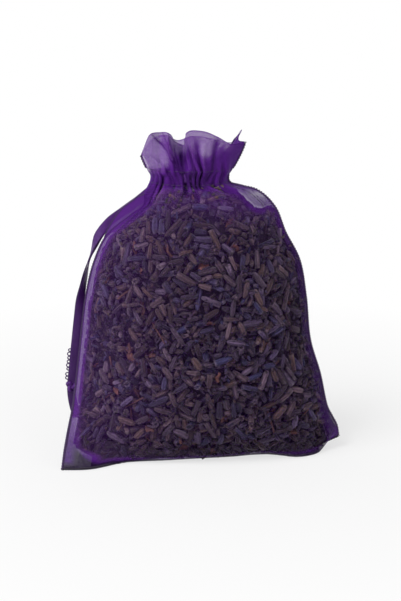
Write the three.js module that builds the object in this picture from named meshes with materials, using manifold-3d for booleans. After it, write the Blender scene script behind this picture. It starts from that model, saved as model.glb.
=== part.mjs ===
// Lavender sachet: a sheer drawstring bag of dried buds, gathered at the neck.
// Millimetres, +Z up. The bag stands on z = 0 and its front faces -Y.

import * as THREE from 'three';
import loadManifold from 'manifold-3d';

// Cloth, thread and the air left between pieces that touch on the real bag.
const CLOTH_THICKNESS = 0.4;
const SEAM_DIAMETER = 0.9;
const STITCH_DIAMETER = 0.5;
const SEAT_GAP = 0.3;
const FLAP_GAP = 0.6;

// Filled body: corner to corner, floor to channel, and how far it swells each way.
const CORNER_SPAN = 87;
const SHOULDER_HEIGHT = 87;
const FRONT_FULLNESS = 18.3;
const BACK_FULLNESS = 21.2;
const HEEL_SWELL = 5;

// Gathered neck with the drawstring channel, left of the middle.
const NECK_WIDTH = 24.2;
const NECK_DEPTH = 12.4;
const NECK_OFFSET = -2.8;
const CHANNEL_EASE = 0.7;
const CHANNEL_ROOM = 0.45;

// Ruffle above the channel.
const RUFFLE_WIDTH = 31.8;
const RUFFLE_DEPTH = 15;
const RUFFLE_HEIGHT = 12.6;
const RUFFLE_OFFSET = -1.8;

// Ribbon drawstring, two strands that leave the channel at the left.
const RIBBON_WIDTH = 2.8;
const RIBBON_THICKNESS = 0.45;
const STRAND_GAP = 0.4;
const MOUTH_LENGTH = 6.5;
const MOUTH_REACH = 1;
const MOUTH_DROP = 5.7;
const MOUTH_OPENING = 1.4;
const LEAVE_ANGLE = 33;
const LAP_LENGTH = 0.7;
const HANG_DEPTH = 3.6;
const KNOT_SIZE = 3.2;
const SHORT_TAIL = 4;
const LONG_TAIL = 8.5;
const SHORT_LEAN = 0.3;
const LONG_LEAN = 1.6;

// Room between the buds and the side seams, and the empty parts of the two corners.
const FILL_MARGIN = 4;
const CORNER_VOID = 20;
const CURL_VOID = 9;
const FILL_GAP = 0.4;

// Dried buds that lie against the cloth, half sunk in the heap behind them. Each is turned from
// the one before by the same angle, so that no two neighbours lie alike.
const BUD_LENGTH = 6.6;
const BUD_GIRTH = 2.8;
const BUD_SPACING = 7.8;
const BUD_SIDES = 5;
const BUD_TURN = 2.4;

// How finely the soft shapes are faceted.
const COLUMNS = 24;
const SEAM_STEPS = 26;
const STITCH_STEPS = 22;
const STRAND_STEPS = 26;

// Heights that follow from the ribbon running in the channel.
const CHANNEL_HEIGHT = RIBBON_WIDTH + 2 * CHANNEL_EASE;
const CHANNEL_TOP = SHOULDER_HEIGHT + CHANNEL_HEIGHT;
const CHANNEL_MIDDLE = SHOULDER_HEIGHT + CHANNEL_HEIGHT / 2;
const CHANNEL_DEPTH = CLOTH_THICKNESS + RIBBON_THICKNESS + 2 * CHANNEL_ROOM;
const SEAM_RADIUS = SEAM_DIAMETER / 2;

// Depths inside a panel of the heap's own surface and of the buds' middle lines on it.
const FILL_DEPTH = CLOTH_THICKNESS / 2 + FILL_GAP;
const BUD_DEPTH = FILL_DEPTH + BUD_GIRTH / 2;

// Rows of the bag from the bottom seam up: the channel is between two rows, the ruffle above.
const CHANNEL_FOOT_ROW = 12;
const CHANNEL_HEAD_ROW = 13;
const LIP_ROW = 14;
const BUD_TOP_ROW = 9.4;

// How far across the neck the hem reaches, and the share of a side seam inside the corner.
const HEM_REACH = 0.62;
const SEAM_START = 0.025;

const PURPLE_CLOTH = 0x7f65a0;
const PURPLE_THREAD = 0x4b2d66;
const PURPLE_RIBBON = 0x5a3474;
const DRIED_BUDS = 0x4a3b54;

// A point given as shares of half the corner span, a fullness and the shoulder height.
function bodyPoint([across, forward, up], fullness = FRONT_FULLNESS) {
  return new THREE.Vector3(
    (across * CORNER_SPAN) / 2,
    forward * fullness,
    up * SHOULDER_HEIGHT,
  );
}

// A point on the rim of the neck at the foot or the head of the channel.
function neckPoint(across, forward, height) {
  return new THREE.Vector3(
    NECK_OFFSET + (across * NECK_WIDTH) / 2,
    (forward * NECK_DEPTH) / 2,
    height,
  );
}

// A line up the bag: free rows below, then the two channel rows on the neck.
function risingLine(rows, fullness, across, forward) {
  const points = rows.map((row) => bodyPoint(row, fullness));
  points.push(neckPoint(across, forward, SHOULDER_HEIGHT));
  points.push(neckPoint(across, forward, CHANNEL_TOP));
  return new THREE.CatmullRomCurve3(points);
}

// Left seam, from the sharp corner that lies forward on the floor up to the neck.
const LEFT_SEAM = risingLine(
  [
    [-0.972, -1.055, 0.0],
    [-0.956, -0.951, 0.06],
    [-0.943, -0.765, 0.099],
    [-0.929, -0.519, 0.136],
    [-0.91, -0.273, 0.184],
    [-0.887, -0.055, 0.282],
    [-0.855, 0.066, 0.42],
    [-0.816, 0.098, 0.569],
    [-0.752, 0.082, 0.701],
    [-0.653, 0.049, 0.805],
    [-0.49, 0.0, 0.876],
    [-0.377, 0.0, 0.924],
  ],
  FRONT_FULLNESS,
  -1,
  0,
);

// Right seam, from the corner curled up off the floor to the neck.
const RIGHT_SEAM = risingLine(
  [
    [1.025, 0.05, 0.048],
    [1.012, 0.1, 0.086],
    [0.979, 0.15, 0.117],
    [0.943, 0.17, 0.151],
    [0.92, 0.169, 0.195],
    [0.883, 0.131, 0.282],
    [0.805, 0.109, 0.414],
    [0.77, 0.109, 0.575],
    [0.718, 0.093, 0.713],
    [0.614, 0.055, 0.816],
    [0.538, 0.022, 0.908],
    [0.414, 0.0, 0.969],
  ],
  FRONT_FULLNESS,
  1,
  0,
);

// Middle of the front, from the bottom seam under the bag to the neck. The rows that dip
// below the floor are the ones the bag's weight presses flat.
const FRONT_MIDDLE = risingLine(
  [
    [0.029, 0.164, 0.0],
    [0.029, -0.191, -0.012],
    [0.029, -0.45, 0.0],
    [0.029, -0.735, 0.046],
    [0.025, -0.918, 0.126],
    [0.023, -1.0, 0.264],
    [0.011, -1.0, 0.425],
    [0.0, -0.94, 0.586],
    [-0.023, -0.82, 0.724],
    [-0.034, -0.656, 0.833],
    [-0.053, -0.508, 0.914],
    [-0.062, -0.404, 0.966],
  ],
  FRONT_FULLNESS,
  0,
  -1,
);

// Middle of the back, the fuller side.
const BACK_MIDDLE = risingLine(
  [
    [0.029, 0.142, 0.0],
    [0.029, 0.448, -0.012],
    [0.029, 0.708, 0.002],
    [0.029, 0.873, 0.052],
    [0.025, 0.972, 0.138],
    [0.023, 1.0, 0.276],
    [0.011, 0.972, 0.437],
    [0.0, 0.896, 0.598],
    [-0.023, 0.778, 0.73],
    [-0.034, 0.613, 0.833],
    [-0.053, 0.462, 0.914],
    [-0.062, 0.358, 0.966],
  ],
  BACK_FULLNESS,
  0,
  1,
);

// Bottom seam seen from above, evenly spaced from the left corner to the right one.
const BOTTOM_SEAM = new THREE.CatmullRomCurve3(
  [
    [-0.972, -1.055, 0.0],
    [-0.772, -1.01, 0.0],
    [-0.572, -0.72, 0.0],
    [-0.371, -0.4, 0.0],
    [-0.171, -0.05, 0.0],
    [0.029, 0.164, 0.0],
    [0.229, 0.23, 0.0],
    [0.429, 0.246, 0.0],
    [0.63, 0.24, 0.0],
    [0.83, 0.16, 0.0],
    [1.025, 0.05, 0.048],
  ].map((share) => bodyPoint(share)),
);

// A lip of the ruffle, as shares of its half width, half depth and height.
function lipCurve(shares) {
  const points = shares.map(
    ([across, forward, up]) =>
      new THREE.Vector3(
        RUFFLE_OFFSET + (across * RUFFLE_WIDTH) / 2,
        (forward * RUFFLE_DEPTH) / 2,
        CHANNEL_TOP + up * RUFFLE_HEIGHT,
      ),
  );
  return new THREE.CatmullRomCurve3(points);
}

const FRONT_LIP = lipCurve([
  [-1, 0.13, 0.32],
  [-0.8, -0.6, 0.9],
  [-0.62, -0.4, 0.92],
  [-0.47, -0.73, 0.94],
  [-0.34, -0.27, 0.7],
  [-0.18, 0.2, 0.55],
  [-0.16, -0.67, 0.8],
  [-0.08, -1, 1],
  [0.2, -0.87, 0.99],
  [0.48, -0.67, 0.83],
  [0.72, -0.4, 0.64],
  [1, 0.13, 0.63],
]);

const BACK_LIP = lipCurve([
  [-1, 0.13, 0.32],
  [-0.8, 0.8, 0.62],
  [-0.54, 0.53, 0.75],
  [-0.3, 1.07, 0.57],
  [-0.02, 0.67, 0.71],
  [0.25, 1.07, 0.64],
  [0.48, 0.67, 0.61],
  [0.7, 0.93, 0.53],
  [0.83, 0.53, 0.57],
  [0.92, 0.67, 0.83],
  [1, 0.13, 0.63],
]);

// Front is -1 and back is +1; each side has its own middle line and lip.
const FRONT = -1;
const BACK = 1;
const MIDDLES = new Map([
  [FRONT, FRONT_MIDDLE],
  [BACK, BACK_MIDDLE],
]);
const LIPS = new Map([
  [FRONT, FRONT_LIP],
  [BACK, BACK_LIP],
]);

// How full the bag is across: 1 in the middle, 0 at the seams. Near the floor the right half
// is squarer and the left half runs out thin into its empty corner.
function crown(across, row) {
  const squarer = across > 0 ? 6 : -0.4;
  const power = 2.6 + squarer * Math.max(0, 1 - row / 5);
  return 1 - Math.abs(across) ** power;
}

// A row of the bag: the chord between the seams, swollen towards the middle line.
function rowPoint(side, across, row) {
  const share = row / CHANNEL_HEAD_ROW;
  const left = LEFT_SEAM.getPoint(share);
  const right = RIGHT_SEAM.getPoint(share);
  const swell = MIDDLES.get(side).getPoint(share);
  swell.sub(left.clone().lerp(right, 0.5));
  const point = left.lerp(right, (across + 1) / 2);
  return point.addScaledVector(swell, crown(across, row));
}

// How far the buds that settle into the right corner push the cloth out, most at the front.
function heel(side, across, row) {
  const spread = Math.exp(-(((across - 0.78) / 0.2) ** 2) - ((row - 1.7) / 1.3) ** 2);
  const share = side === FRONT ? 1 : 0.35;
  return HEEL_SWELL * share * spread * THREE.MathUtils.smoothstep(row, 0, 1.2);
}

// The middle of a panel's thickness, from the bottom seam (row 0) to the lip.
function panelPoint(side, across, row) {
  const point = rowPoint(side, across, Math.min(row, CHANNEL_HEAD_ROW));
  if (row < 3) {
    const pull = BOTTOM_SEAM.getPoint((across + 1) / 2).sub(rowPoint(side, across, 0));
    point.addScaledVector(pull, (1 - row / 3) ** 2);
  }
  const swell = heel(side, across, row);
  point.y += side * swell;
  point.z -= 0.6 * swell;
  if (row > CHANNEL_HEAD_ROW) {
    const rise = row - CHANNEL_HEAD_ROW;
    const flare = 1 - (1 - rise) ** 1.9;
    const lip = LIPS.get(side).getPoint((across + 1) / 2);
    point.z = THREE.MathUtils.lerp(point.z, lip.z, rise);
    point.lerp(lip.setZ(point.z), flare);
  }
  point.y += (side * (FLAP_GAP + CLOTH_THICKNESS)) / 2;
  point.z = Math.max(point.z, CLOTH_THICKNESS / 2);
  return point;
}

// Outward direction of a panel; straight down where it is pressed on the floor.
function panelNormal(side, across, row) {
  const step = 0.02;
  if (panelPoint(side, across, row).z <= CLOTH_THICKNESS / 2) {
    return new THREE.Vector3(0, 0, -1);
  }
  const along = panelPoint(side, Math.min(across + step, 1), row);
  along.sub(panelPoint(side, Math.max(across - step, -1), row));
  const up = panelPoint(side, across, Math.min(row + step, LIP_ROW));
  up.sub(panelPoint(side, across, Math.max(row - step, 0)));
  return along.cross(up).normalize().multiplyScalar(-side);
}

// A point at a depth inside the middle of a panel; negative depths are outside it.
function insidePanel(side, across, row, depth) {
  const point = panelPoint(side, across, row);
  return point.addScaledVector(panelNormal(side, across, row), -depth);
}

// How far across a row goes when it stops a given length short of the side seams.
function reachAcross(row, inset) {
  const width = panelPoint(FRONT, -1, row).distanceTo(panelPoint(FRONT, 1, row));
  return 1 - (2 * inset) / width;
}

// How far across a panel goes at one end of a row to stop short of the seam's bead. The left
// seam is left open below the channel, where the ribbon comes out.
function reachSeam(side, row, end) {
  const seam = panelPoint(side, end, row);
  const open = THREE.MathUtils.smoothstep(row, 10.7, 11.5) * (row > CHANNEL_FOOT_ROW ? 0 : 1);
  const inset = SEAM_RADIUS + SEAT_GAP + (end < 0 ? open * MOUTH_OPENING : 0);
  let reach = 1;
  while (panelPoint(side, end * reach, row).distanceTo(seam) < inset) {
    reach -= 0.001;
  }
  return end * reach;
}

// Closed solid between two equal grids of points, the first one outside.
function shellBetween(outer, inner) {
  const rows = outer.length;
  const columns = outer[0].length;
  const positions = [...outer.flat(), ...inner.flat()].flatMap((p) => [p.x, p.y, p.z]);
  const index = [];
  const quad = (a, b, c, d) => index.push(a, b, c, a, c, d);
  const out = (i, j) => i * columns + j;
  const back = (i, j) => rows * columns + out(i, j);
  for (let i = 0; i < rows - 1; i += 1) {
    for (let j = 0; j < columns - 1; j += 1) {
      quad(out(i, j), out(i, j + 1), out(i + 1, j + 1), out(i + 1, j));
      quad(back(i, j), back(i + 1, j), back(i + 1, j + 1), back(i, j + 1));
    }
    quad(out(i, 0), out(i + 1, 0), back(i + 1, 0), back(i, 0));
    quad(out(i + 1, columns - 1), out(i, columns - 1), back(i, columns - 1), back(i + 1, columns - 1));
  }
  for (let j = 0; j < columns - 1; j += 1) {
    quad(out(0, j + 1), out(0, j), back(0, j), back(0, j + 1));
    quad(out(rows - 1, j), out(rows - 1, j + 1), back(rows - 1, j + 1), back(rows - 1, j));
  }
  const geometry = new THREE.BufferGeometry();
  geometry.setAttribute('position', new THREE.Float32BufferAttribute(positions, 3));
  geometry.setIndex(index);
  return geometry;
}

const solids = await loadManifold();
solids.setup();

// One solid from several closed surfaces that run into each other.
function joined(geometries) {
  const bodies = geometries.map((geometry) => {
    const mesh = new solids.Mesh({
      numProp: 3,
      vertProperties: new Float32Array(geometry.attributes.position.array),
      triVerts: new Uint32Array(geometry.index.array),
    });
    mesh.merge();
    return new solids.Manifold(mesh);
  });
  const whole = bodies.reduce((sum, body) => sum.add(body)).getMesh();
  const geometry = new THREE.BufferGeometry();
  const positions = new THREE.Float32BufferAttribute(whole.vertProperties, whole.numProp);
  geometry.setAttribute('position', positions);
  geometry.setIndex([...whole.triVerts]);
  return geometry;
}

// A grid of points inside a panel: the rows given, each spread between its two ends.
function panelGrid(side, rows, ends, depthAt) {
  return rows.map((row, i) => {
    const [from, to] = ends(row);
    return Array.from({ length: COLUMNS + 1 }, (_, j) => {
      const across = from + ((to - from) * j) / COLUMNS;
      const level = row < 1 ? THREE.MathUtils.lerp(footRow(side, across), 1, row) : row;
      const point = insidePanel(side, across, level, depthAt(i));
      point.z = Math.max(point.z, 0);
      return point;
    });
  });
}

// The row at which a panel's lower edge clears the bead of the bottom seam.
function footRow(side, across) {
  const bead = BOTTOM_SEAM.getPoint((across + 1) / 2);
  bead.z = Math.max(bead.z, SEAM_RADIUS);
  const clear = SEAM_RADIUS + SEAT_GAP + CLOTH_THICKNESS / 2;
  let row = 0;
  while (row < 0.8 && panelPoint(side, across, row).distanceTo(bead) < clear) {
    row += 0.02;
  }
  return row;
}

// Front grids run left to right; back grids are mirrored so that they face out too.
function facing(side, grid) {
  return side === FRONT ? grid : grid.map((row) => [...row].reverse());
}

// A panel of the bag with the turned-in hem that makes the drawstring channel.
function panel(side) {
  const rows = [
    0, 0.5, 1, 1.5, 2, 2.5, 3, 3.5, 4, 4.5, 5, 5.5, 6, 6.5, 7, 7.5, 8, 8.5, 9, 9.5, 10, 10.5, 11,
    11.5, CHANNEL_FOOT_ROW, CHANNEL_HEAD_ROW, 13.4, 13.7, LIP_ROW,
  ];
  const toSeams = (row) => [reachSeam(side, row, -1), reachSeam(side, row, 1)];
  const half = CLOTH_THICKNESS / 2;
  const cloth = shellBetween(
    facing(side, panelGrid(side, rows, toSeams, () => -half)),
    facing(side, panelGrid(side, rows, toSeams, () => half)),
  );
  const hemRows = [11.9, CHANNEL_FOOT_ROW + 0.05, CHANNEL_HEAD_ROW - 0.1, CHANNEL_HEAD_ROW];
  const hemDepths = [0, CHANNEL_DEPTH, CHANNEL_DEPTH, 0];
  const channelEnds = () => [-HEM_REACH, HEM_REACH];
  const hem = shellBetween(
    facing(side, panelGrid(side, hemRows, channelEnds, (i) => hemDepths[i] - 0.9 * half)),
    facing(side, panelGrid(side, hemRows, channelEnds, (i) => hemDepths[i] + 0.9 * half)),
  );
  return joined([cloth, hem]);
}

// Where the heap of buds ends across a row, a given length short of the seams and the corners.
function heapEnds(row, inset) {
  const low = Math.max(0, 1 - row / 4);
  return [
    -reachAcross(row, inset + CORNER_VOID * low),
    reachAcross(row, inset + CURL_VOID * low),
  ];
}

// A bud that lies against the inside of a panel, turned about the panel's normal.
function bud(side, across, row, turn) {
  const out = panelNormal(side, across, row);
  const along = new THREE.Vector3(1, 0, 0).projectOnPlane(out).normalize();
  along.applyAxisAngle(out, turn);
  const pose = new THREE.Matrix4().makeBasis(along.clone().cross(out), along, out);
  pose.setPosition(insidePanel(side, across, row, BUD_DEPTH));
  const spindle = new THREE.SphereGeometry(0.5, BUD_SIDES, 3);
  return spindle.scale(BUD_GIRTH, BUD_LENGTH, BUD_GIRTH).applyMatrix4(pose);
}

// The rows of buds up a panel, a spacing apart on its middle line, from above the floor.
function budRows(side) {
  const rows = [];
  let last = new THREE.Vector3();
  for (let row = 1; row < BUD_TOP_ROW; row += 0.05) {
    const point = panelPoint(side, 0, row);
    if (point.z > BUD_LENGTH && point.distanceTo(last) > BUD_SPACING) {
      rows.push(row);
      last = point;
    }
  }
  return rows;
}

// The buds against a panel, every other row set half a spacing aside.
function outerBuds(side) {
  return budRows(side).flatMap((row, i) => {
    const [from, to] = heapEnds(row, FILL_MARGIN + BUD_LENGTH / 2);
    const width = panelPoint(side, from, row).distanceTo(panelPoint(side, to, row));
    const count = Math.floor(width / BUD_SPACING);
    const aside = (i % 2) / 2;
    return Array.from({ length: count }, (_, j) => {
      const across = from + ((to - from) * (j + aside)) / (count - 0.5);
      return bud(side, across, row, BUD_TURN * (i * 3 + j));
    });
  });
}

// The heap of buds, a little inside both panels, with a rounded top.
function buds() {
  const rows = [1, 1.5, 2, 2.5, 3, 3.5, 4, 4.5, 5, 5.5, 6, 6.5, 7, 7.5, 8, 8.5, 9, 9.5, 10];
  const ends = (row) => heapEnds(row, FILL_MARGIN);
  const front = panelGrid(FRONT, rows, ends, () => FILL_DEPTH);
  const back = panelGrid(BACK, rows, ends, () => FILL_DEPTH);
  const floor = SEAM_DIAMETER + SEAT_GAP;
  const settle = (point, inward) => {
    const lift = Math.max(0, floor - point.z);
    point.z += lift;
    point.y += inward * 2.5 * lift;
  };
  rows.forEach((row, i) => {
    const draw = 0.35 * Math.max(0, row - 9) ** 2;
    front[i].forEach((near, j) => {
      const far = back[i][j];
      const middle = near.clone().lerp(far, 0.5);
      const sink = Math.min(BUD_GIRTH / 2 / near.distanceTo(middle), 0.4);
      near.lerp(middle, Math.max(draw, sink));
      far.lerp(middle, Math.max(draw, sink));
      settle(near, 1);
      settle(far, -1);
    });
  });
  return joined([shellBetween(front, back), ...outerBuds(FRONT), ...outerBuds(BACK)]);
}

// A round thread through the points given.
function thread(points, diameter, steps) {
  const round = new THREE.Shape();
  round.absarc(0, 0, diameter / 2, 0, 2 * Math.PI, false);
  return new THREE.ExtrudeGeometry(round, {
    steps,
    curveSegments: 3,
    extrudePath: new THREE.CatmullRomCurve3(points),
  });
}

// Points along a seam line between two rows, kept on or above the floor.
function seamPoints(line, from, to) {
  return Array.from({ length: SEAM_STEPS + 1 }, (_, i) => {
    const point = line.getPoint(from + ((to - from) * i) / SEAM_STEPS);
    point.z = Math.max(point.z, SEAM_RADIUS + 0.02);
    return point;
  });
}

// A row of stitching on the outside of a panel at one row of the channel.
function stitching(side, row) {
  const depth = -(CLOTH_THICKNESS / 2 + SEAT_GAP + STITCH_DIAMETER / 2);
  const points = Array.from({ length: STITCH_STEPS + 1 }, (_, i) => {
    const across = -0.9 + (1.8 * i) / STITCH_STEPS;
    return insidePanel(side, across, row, depth);
  });
  return thread(points, STITCH_DIAMETER, STITCH_STEPS);
}

// A flat ribbon through stations, each a centre, a direction across and one through it.
function ribbon(stations) {
  const corners = [
    [-1, -1],
    [1, -1],
    [1, 1],
    [-1, 1],
  ];
  const positions = stations.flatMap(({ centre, across, through }) =>
    corners.flatMap(([a, t]) => {
      const point = centre.clone();
      point.addScaledVector(across, (a * RIBBON_WIDTH) / 2);
      point.addScaledVector(through, (t * RIBBON_THICKNESS) / 2);
      return [point.x, point.y, point.z];
    }),
  );
  const last = 4 * (stations.length - 1);
  const index = [0, 1, 2, 0, 2, 3, last, last + 2, last + 1, last, last + 3, last + 2];
  for (let i = 0; i < last; i += 4) {
    for (let k = 0; k < 4; k += 1) {
      const a = i + k;
      const b = i + ((k + 1) % 4);
      index.push(a, a + 4, b + 4, a, b + 4, b);
    }
  }
  const geometry = new THREE.BufferGeometry();
  geometry.setAttribute('position', new THREE.Float32BufferAttribute(positions, 3));
  geometry.setIndex(index);
  return geometry;
}

const UP = new THREE.Vector3(0, 0, 1);

// Stations along a curve with the ribbon standing on edge, as it does in the channel.
function standingStations(curve, steps) {
  return Array.from({ length: steps + 1 }, (_, i) => {
    const tangent = curve.getTangent(i / steps);
    return {
      centre: curve.getPoint(i / steps),
      across: UP,
      through: UP.clone().cross(tangent).normalize(),
    };
  });
}

// The ribbon inside the channel: in along the front, round the right end, out along the back.
function drawstringLoop() {
  const row = (CHANNEL_FOOT_ROW + CHANNEL_HEAD_ROW) / 2;
  const lane = CHANNEL_DEPTH / 2;
  const shares = [-1, -0.72, -0.36, 0, 0.36, 0.72, 1];
  const run = (side) => shares.map((share) => insidePanel(side, share * HEM_REACH, row, lane));
  const turn = neckPoint(0.86, 0, CHANNEL_MIDDLE);
  const lead = (forward) => neckPoint(-0.78, forward, CHANNEL_MIDDLE);
  const points = [lead(-0.42), ...run(FRONT), turn, ...run(BACK).reverse(), lead(0.42)];
  points.forEach((point) => {
    point.z = CHANNEL_MIDDLE;
  });
  return ribbon(standingStations(new THREE.CatmullRomCurve3(points), 44));
}

// Where the two strands leave the left end of the channel and hinge.
const STRAND_SPACE = (RIBBON_THICKNESS + STRAND_GAP) / 2;
const LAP_SPACE = STRAND_SPACE + RIBBON_THICKNESS + STRAND_GAP;
const LEAVE = THREE.MathUtils.degToRad(LEAVE_ANGLE);
const LEAVING = new THREE.Vector3(-Math.cos(LEAVE), 0, -Math.sin(LEAVE));
const HINGE = neckPoint(-1, 0, CHANNEL_MIDDLE);
HINGE.x -= MOUTH_REACH;
HINGE.z -= MOUTH_DROP;

// A straight piece of one strand in the mouth of the channel.
function strandMouth(side) {
  const through = new THREE.Vector3(0, 1, 0);
  const across = LEAVING.clone().cross(through);
  const stations = [-MOUTH_LENGTH, LAP_LENGTH].map((along) => {
    const centre = HINGE.clone().addScaledVector(LEAVING, along);
    centre.y = side * STRAND_SPACE;
    return { centre, across, through };
  });
  return ribbon(stations);
}

// Where the ribbon's middle hangs beside a row of the left seam.
function besideSeam(row) {
  const seam = LEFT_SEAM.getPoint(row / CHANNEL_HEAD_ROW);
  const rise = LEFT_SEAM.getTangent(row / CHANNEL_HEAD_ROW);
  const outward = new THREE.Vector3(-rise.z, 0, rise.x).normalize();
  const onShoulder = THREE.MathUtils.smoothstep(row, 8, 9.5);
  const overSeam = RIBBON_WIDTH / 2 + SEAM_RADIUS + SEAT_GAP;
  const besideIt = RIBBON_WIDTH / 2 + STRAND_GAP / 2;
  seam.addScaledVector(outward, THREE.MathUtils.lerp(besideIt, overSeam, onShoulder));
  seam.y = HANG_DEPTH * (1 - THREE.MathUtils.smoothstep(row, 8, 11.5));
  return seam;
}

const LAP_START = HINGE.clone().addScaledVector(LEAVING, -LAP_LENGTH);
const HANG_ROWS = [10.8, 10.3, 9.8, 9.3, 8.8, 8.4, 8, 7.5, 7, 6.4, 5.8, 5.2, 4.5];
const HANG = new THREE.CatmullRomCurve3([LAP_START, ...HANG_ROWS.map(besideSeam)]);
const FOLD_SHARE = 7 / HANG_ROWS.length;
const KNOT = HANG.getPoint(1);

// Turn of the hanging pair about its own run: flat, edge-on at the fold, flat again.
function hangTurn(share) {
  const before = THREE.MathUtils.smoothstep(share, FOLD_SHARE - 0.26, FOLD_SHARE);
  const after = THREE.MathUtils.smoothstep(share, FOLD_SHARE, FOLD_SHARE + 0.26);
  return ((before + after) * Math.PI) / 2;
}

// One strand of the hanging pair between two shares of the run.
function strand(side, from, to) {
  const stations = Array.from({ length: STRAND_STEPS + 1 }, (_, i) => {
    const share = from + ((to - from) * i) / STRAND_STEPS;
    const tangent = HANG.getTangent(share);
    const flatThrough = new THREE.Vector3(0, 1, 0);
    flatThrough.addScaledVector(tangent, -tangent.y).normalize();
    const flatAcross = tangent.clone().cross(flatThrough);
    const turn = hangTurn(share);
    const through = flatThrough.clone().multiplyScalar(Math.cos(turn));
    through.addScaledVector(flatAcross, Math.sin(turn));
    const across = flatAcross.multiplyScalar(Math.cos(turn));
    across.addScaledVector(flatThrough, -Math.sin(turn));
    const lapped = 1 - THREE.MathUtils.smoothstep(share, 0.06, 0.3);
    const space = THREE.MathUtils.lerp(STRAND_SPACE, LAP_SPACE, lapped);
    const centre = HANG.getPoint(share).addScaledVector(through, side * space);
    return { centre, across, through };
  });
  return ribbon(stations);
}

// A length along the run beside one of its points, as a share of the whole run.
function hangShare(length, index) {
  const leg = HANG.points[index].distanceTo(HANG.points[index - 1]);
  return length / leg / HANG_ROWS.length;
}

const FOLD_GAP = hangShare(SEAT_GAP / 2, 7);
const KNOT_REACH = KNOT_SIZE * 0.62 + SEAT_GAP;
const KNOT_STOP = 1 - hangShare(KNOT_REACH, HANG_ROWS.length);

// The knot: a tight ball with one turn of ribbon round it.
function knot() {
  const ball = new THREE.SphereGeometry(KNOT_SIZE / 2, 14, 9).scale(1, 0.85, 0.95);
  const wrap = new THREE.TorusGeometry(KNOT_SIZE * 0.4, KNOT_SIZE * 0.17, 7, 14);
  wrap.rotateX(1.15).rotateY(0.35);
  return joined([ball, wrap]).translate(KNOT.x, KNOT.y, KNOT.z);
}

// A cut tail below the knot, bending to its side.
function tail(side, length, lean) {
  const y = KNOT.y + side * STRAND_SPACE;
  const top = KNOT.z - KNOT_REACH;
  const curve = new THREE.QuadraticBezierCurve3(
    new THREE.Vector3(KNOT.x, y, top),
    new THREE.Vector3(KNOT.x + 0.1 * lean, y, top - length / 2),
    new THREE.Vector3(KNOT.x + lean, y, top - length),
  );
  const stations = Array.from({ length: 5 }, (_, i) => {
    const tangent = curve.getTangent(i / 4);
    const through = new THREE.Vector3(0, 1, 0);
    return { centre: curve.getPoint(i / 4), across: tangent.cross(through), through };
  });
  return ribbon(stations);
}

// The side seams above the channel follow the straight edge from the neck to the lip.
function ruffleEdge(across) {
  const foot = neckPoint(across, 0, CHANNEL_TOP);
  const head = FRONT_LIP.getPoint((across + 1) / 2);
  return [foot, foot.clone().lerp(head, 0.5), head];
}

const LEFT_SEAM_STOP = 11 / CHANNEL_HEAD_ROW;
const leftSeamPoints = seamPoints(LEFT_SEAM, SEAM_START, LEFT_SEAM_STOP);
const rightSeamPoints = [...seamPoints(RIGHT_SEAM, SEAM_START, 1), ...ruffleEdge(1).slice(1)];

const materials = {
  organza: { color: PURPLE_CLOTH, roughness: 0.55, metalness: 0 },
  seam_thread: { color: PURPLE_THREAD, roughness: 0.7, metalness: 0 },
  satin_ribbon: { color: PURPLE_RIBBON, roughness: 0.45, metalness: 0 },
  dried_lavender: { color: DRIED_BUDS, roughness: 0.9, metalness: 0 },
};

const sachet = new THREE.Group();
sachet.name = 'lavender_sachet';

function add(name, geometry, material) {
  const mesh = new THREE.Mesh(geometry, new THREE.MeshStandardMaterial(materials[material]));
  mesh.name = name;
  sachet.add(mesh);
}

add('front_panel', panel(FRONT), 'organza');
add('back_panel', panel(BACK), 'organza');
add('left_side_seam', thread(leftSeamPoints, SEAM_DIAMETER, SEAM_STEPS), 'seam_thread');
add('left_ruffle_seam', thread(ruffleEdge(-1), SEAM_DIAMETER, 4), 'seam_thread');
add('right_side_seam', thread(rightSeamPoints, SEAM_DIAMETER, SEAM_STEPS), 'seam_thread');
add('bottom_seam', thread(seamPoints(BOTTOM_SEAM, 0, 1), SEAM_DIAMETER, SEAM_STEPS), 'seam_thread');
add('front_upper_stitches', stitching(FRONT, CHANNEL_HEAD_ROW), 'seam_thread');
add('front_lower_stitches', stitching(FRONT, CHANNEL_FOOT_ROW), 'seam_thread');
add('back_upper_stitches', stitching(BACK, CHANNEL_HEAD_ROW), 'seam_thread');
add('back_lower_stitches', stitching(BACK, CHANNEL_FOOT_ROW), 'seam_thread');
add('lavender_buds', buds(), 'dried_lavender');
add('drawstring_loop', drawstringLoop(), 'satin_ribbon');
add('front_strand_mouth', strandMouth(FRONT), 'satin_ribbon');
add('rear_strand_mouth', strandMouth(BACK), 'satin_ribbon');
add('front_strand_upper', strand(FRONT, 0, FOLD_SHARE - FOLD_GAP), 'satin_ribbon');
add('rear_strand_upper', strand(BACK, 0, FOLD_SHARE - FOLD_GAP), 'satin_ribbon');
add('front_strand_lower', strand(FRONT, FOLD_SHARE + FOLD_GAP, KNOT_STOP), 'satin_ribbon');
add('rear_strand_lower', strand(BACK, FOLD_SHARE + FOLD_GAP, KNOT_STOP), 'satin_ribbon');
add('drawstring_knot', knot(), 'satin_ribbon');
add('short_tail', tail(BACK, SHORT_TAIL, SHORT_LEAN), 'satin_ribbon');
add('long_tail', tail(FRONT, LONG_TAIL, LONG_LEAN), 'satin_ribbon');

export default sachet;
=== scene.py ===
"""Looks of a lavender sachet: a gathered bag of sheer organza, its ribbon and its dried buds.

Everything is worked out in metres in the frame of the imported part: +Z up, the front facing -Y.
"""

import logging
import math
from dataclasses import dataclass, field
from enum import Enum
from typing import Any

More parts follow.
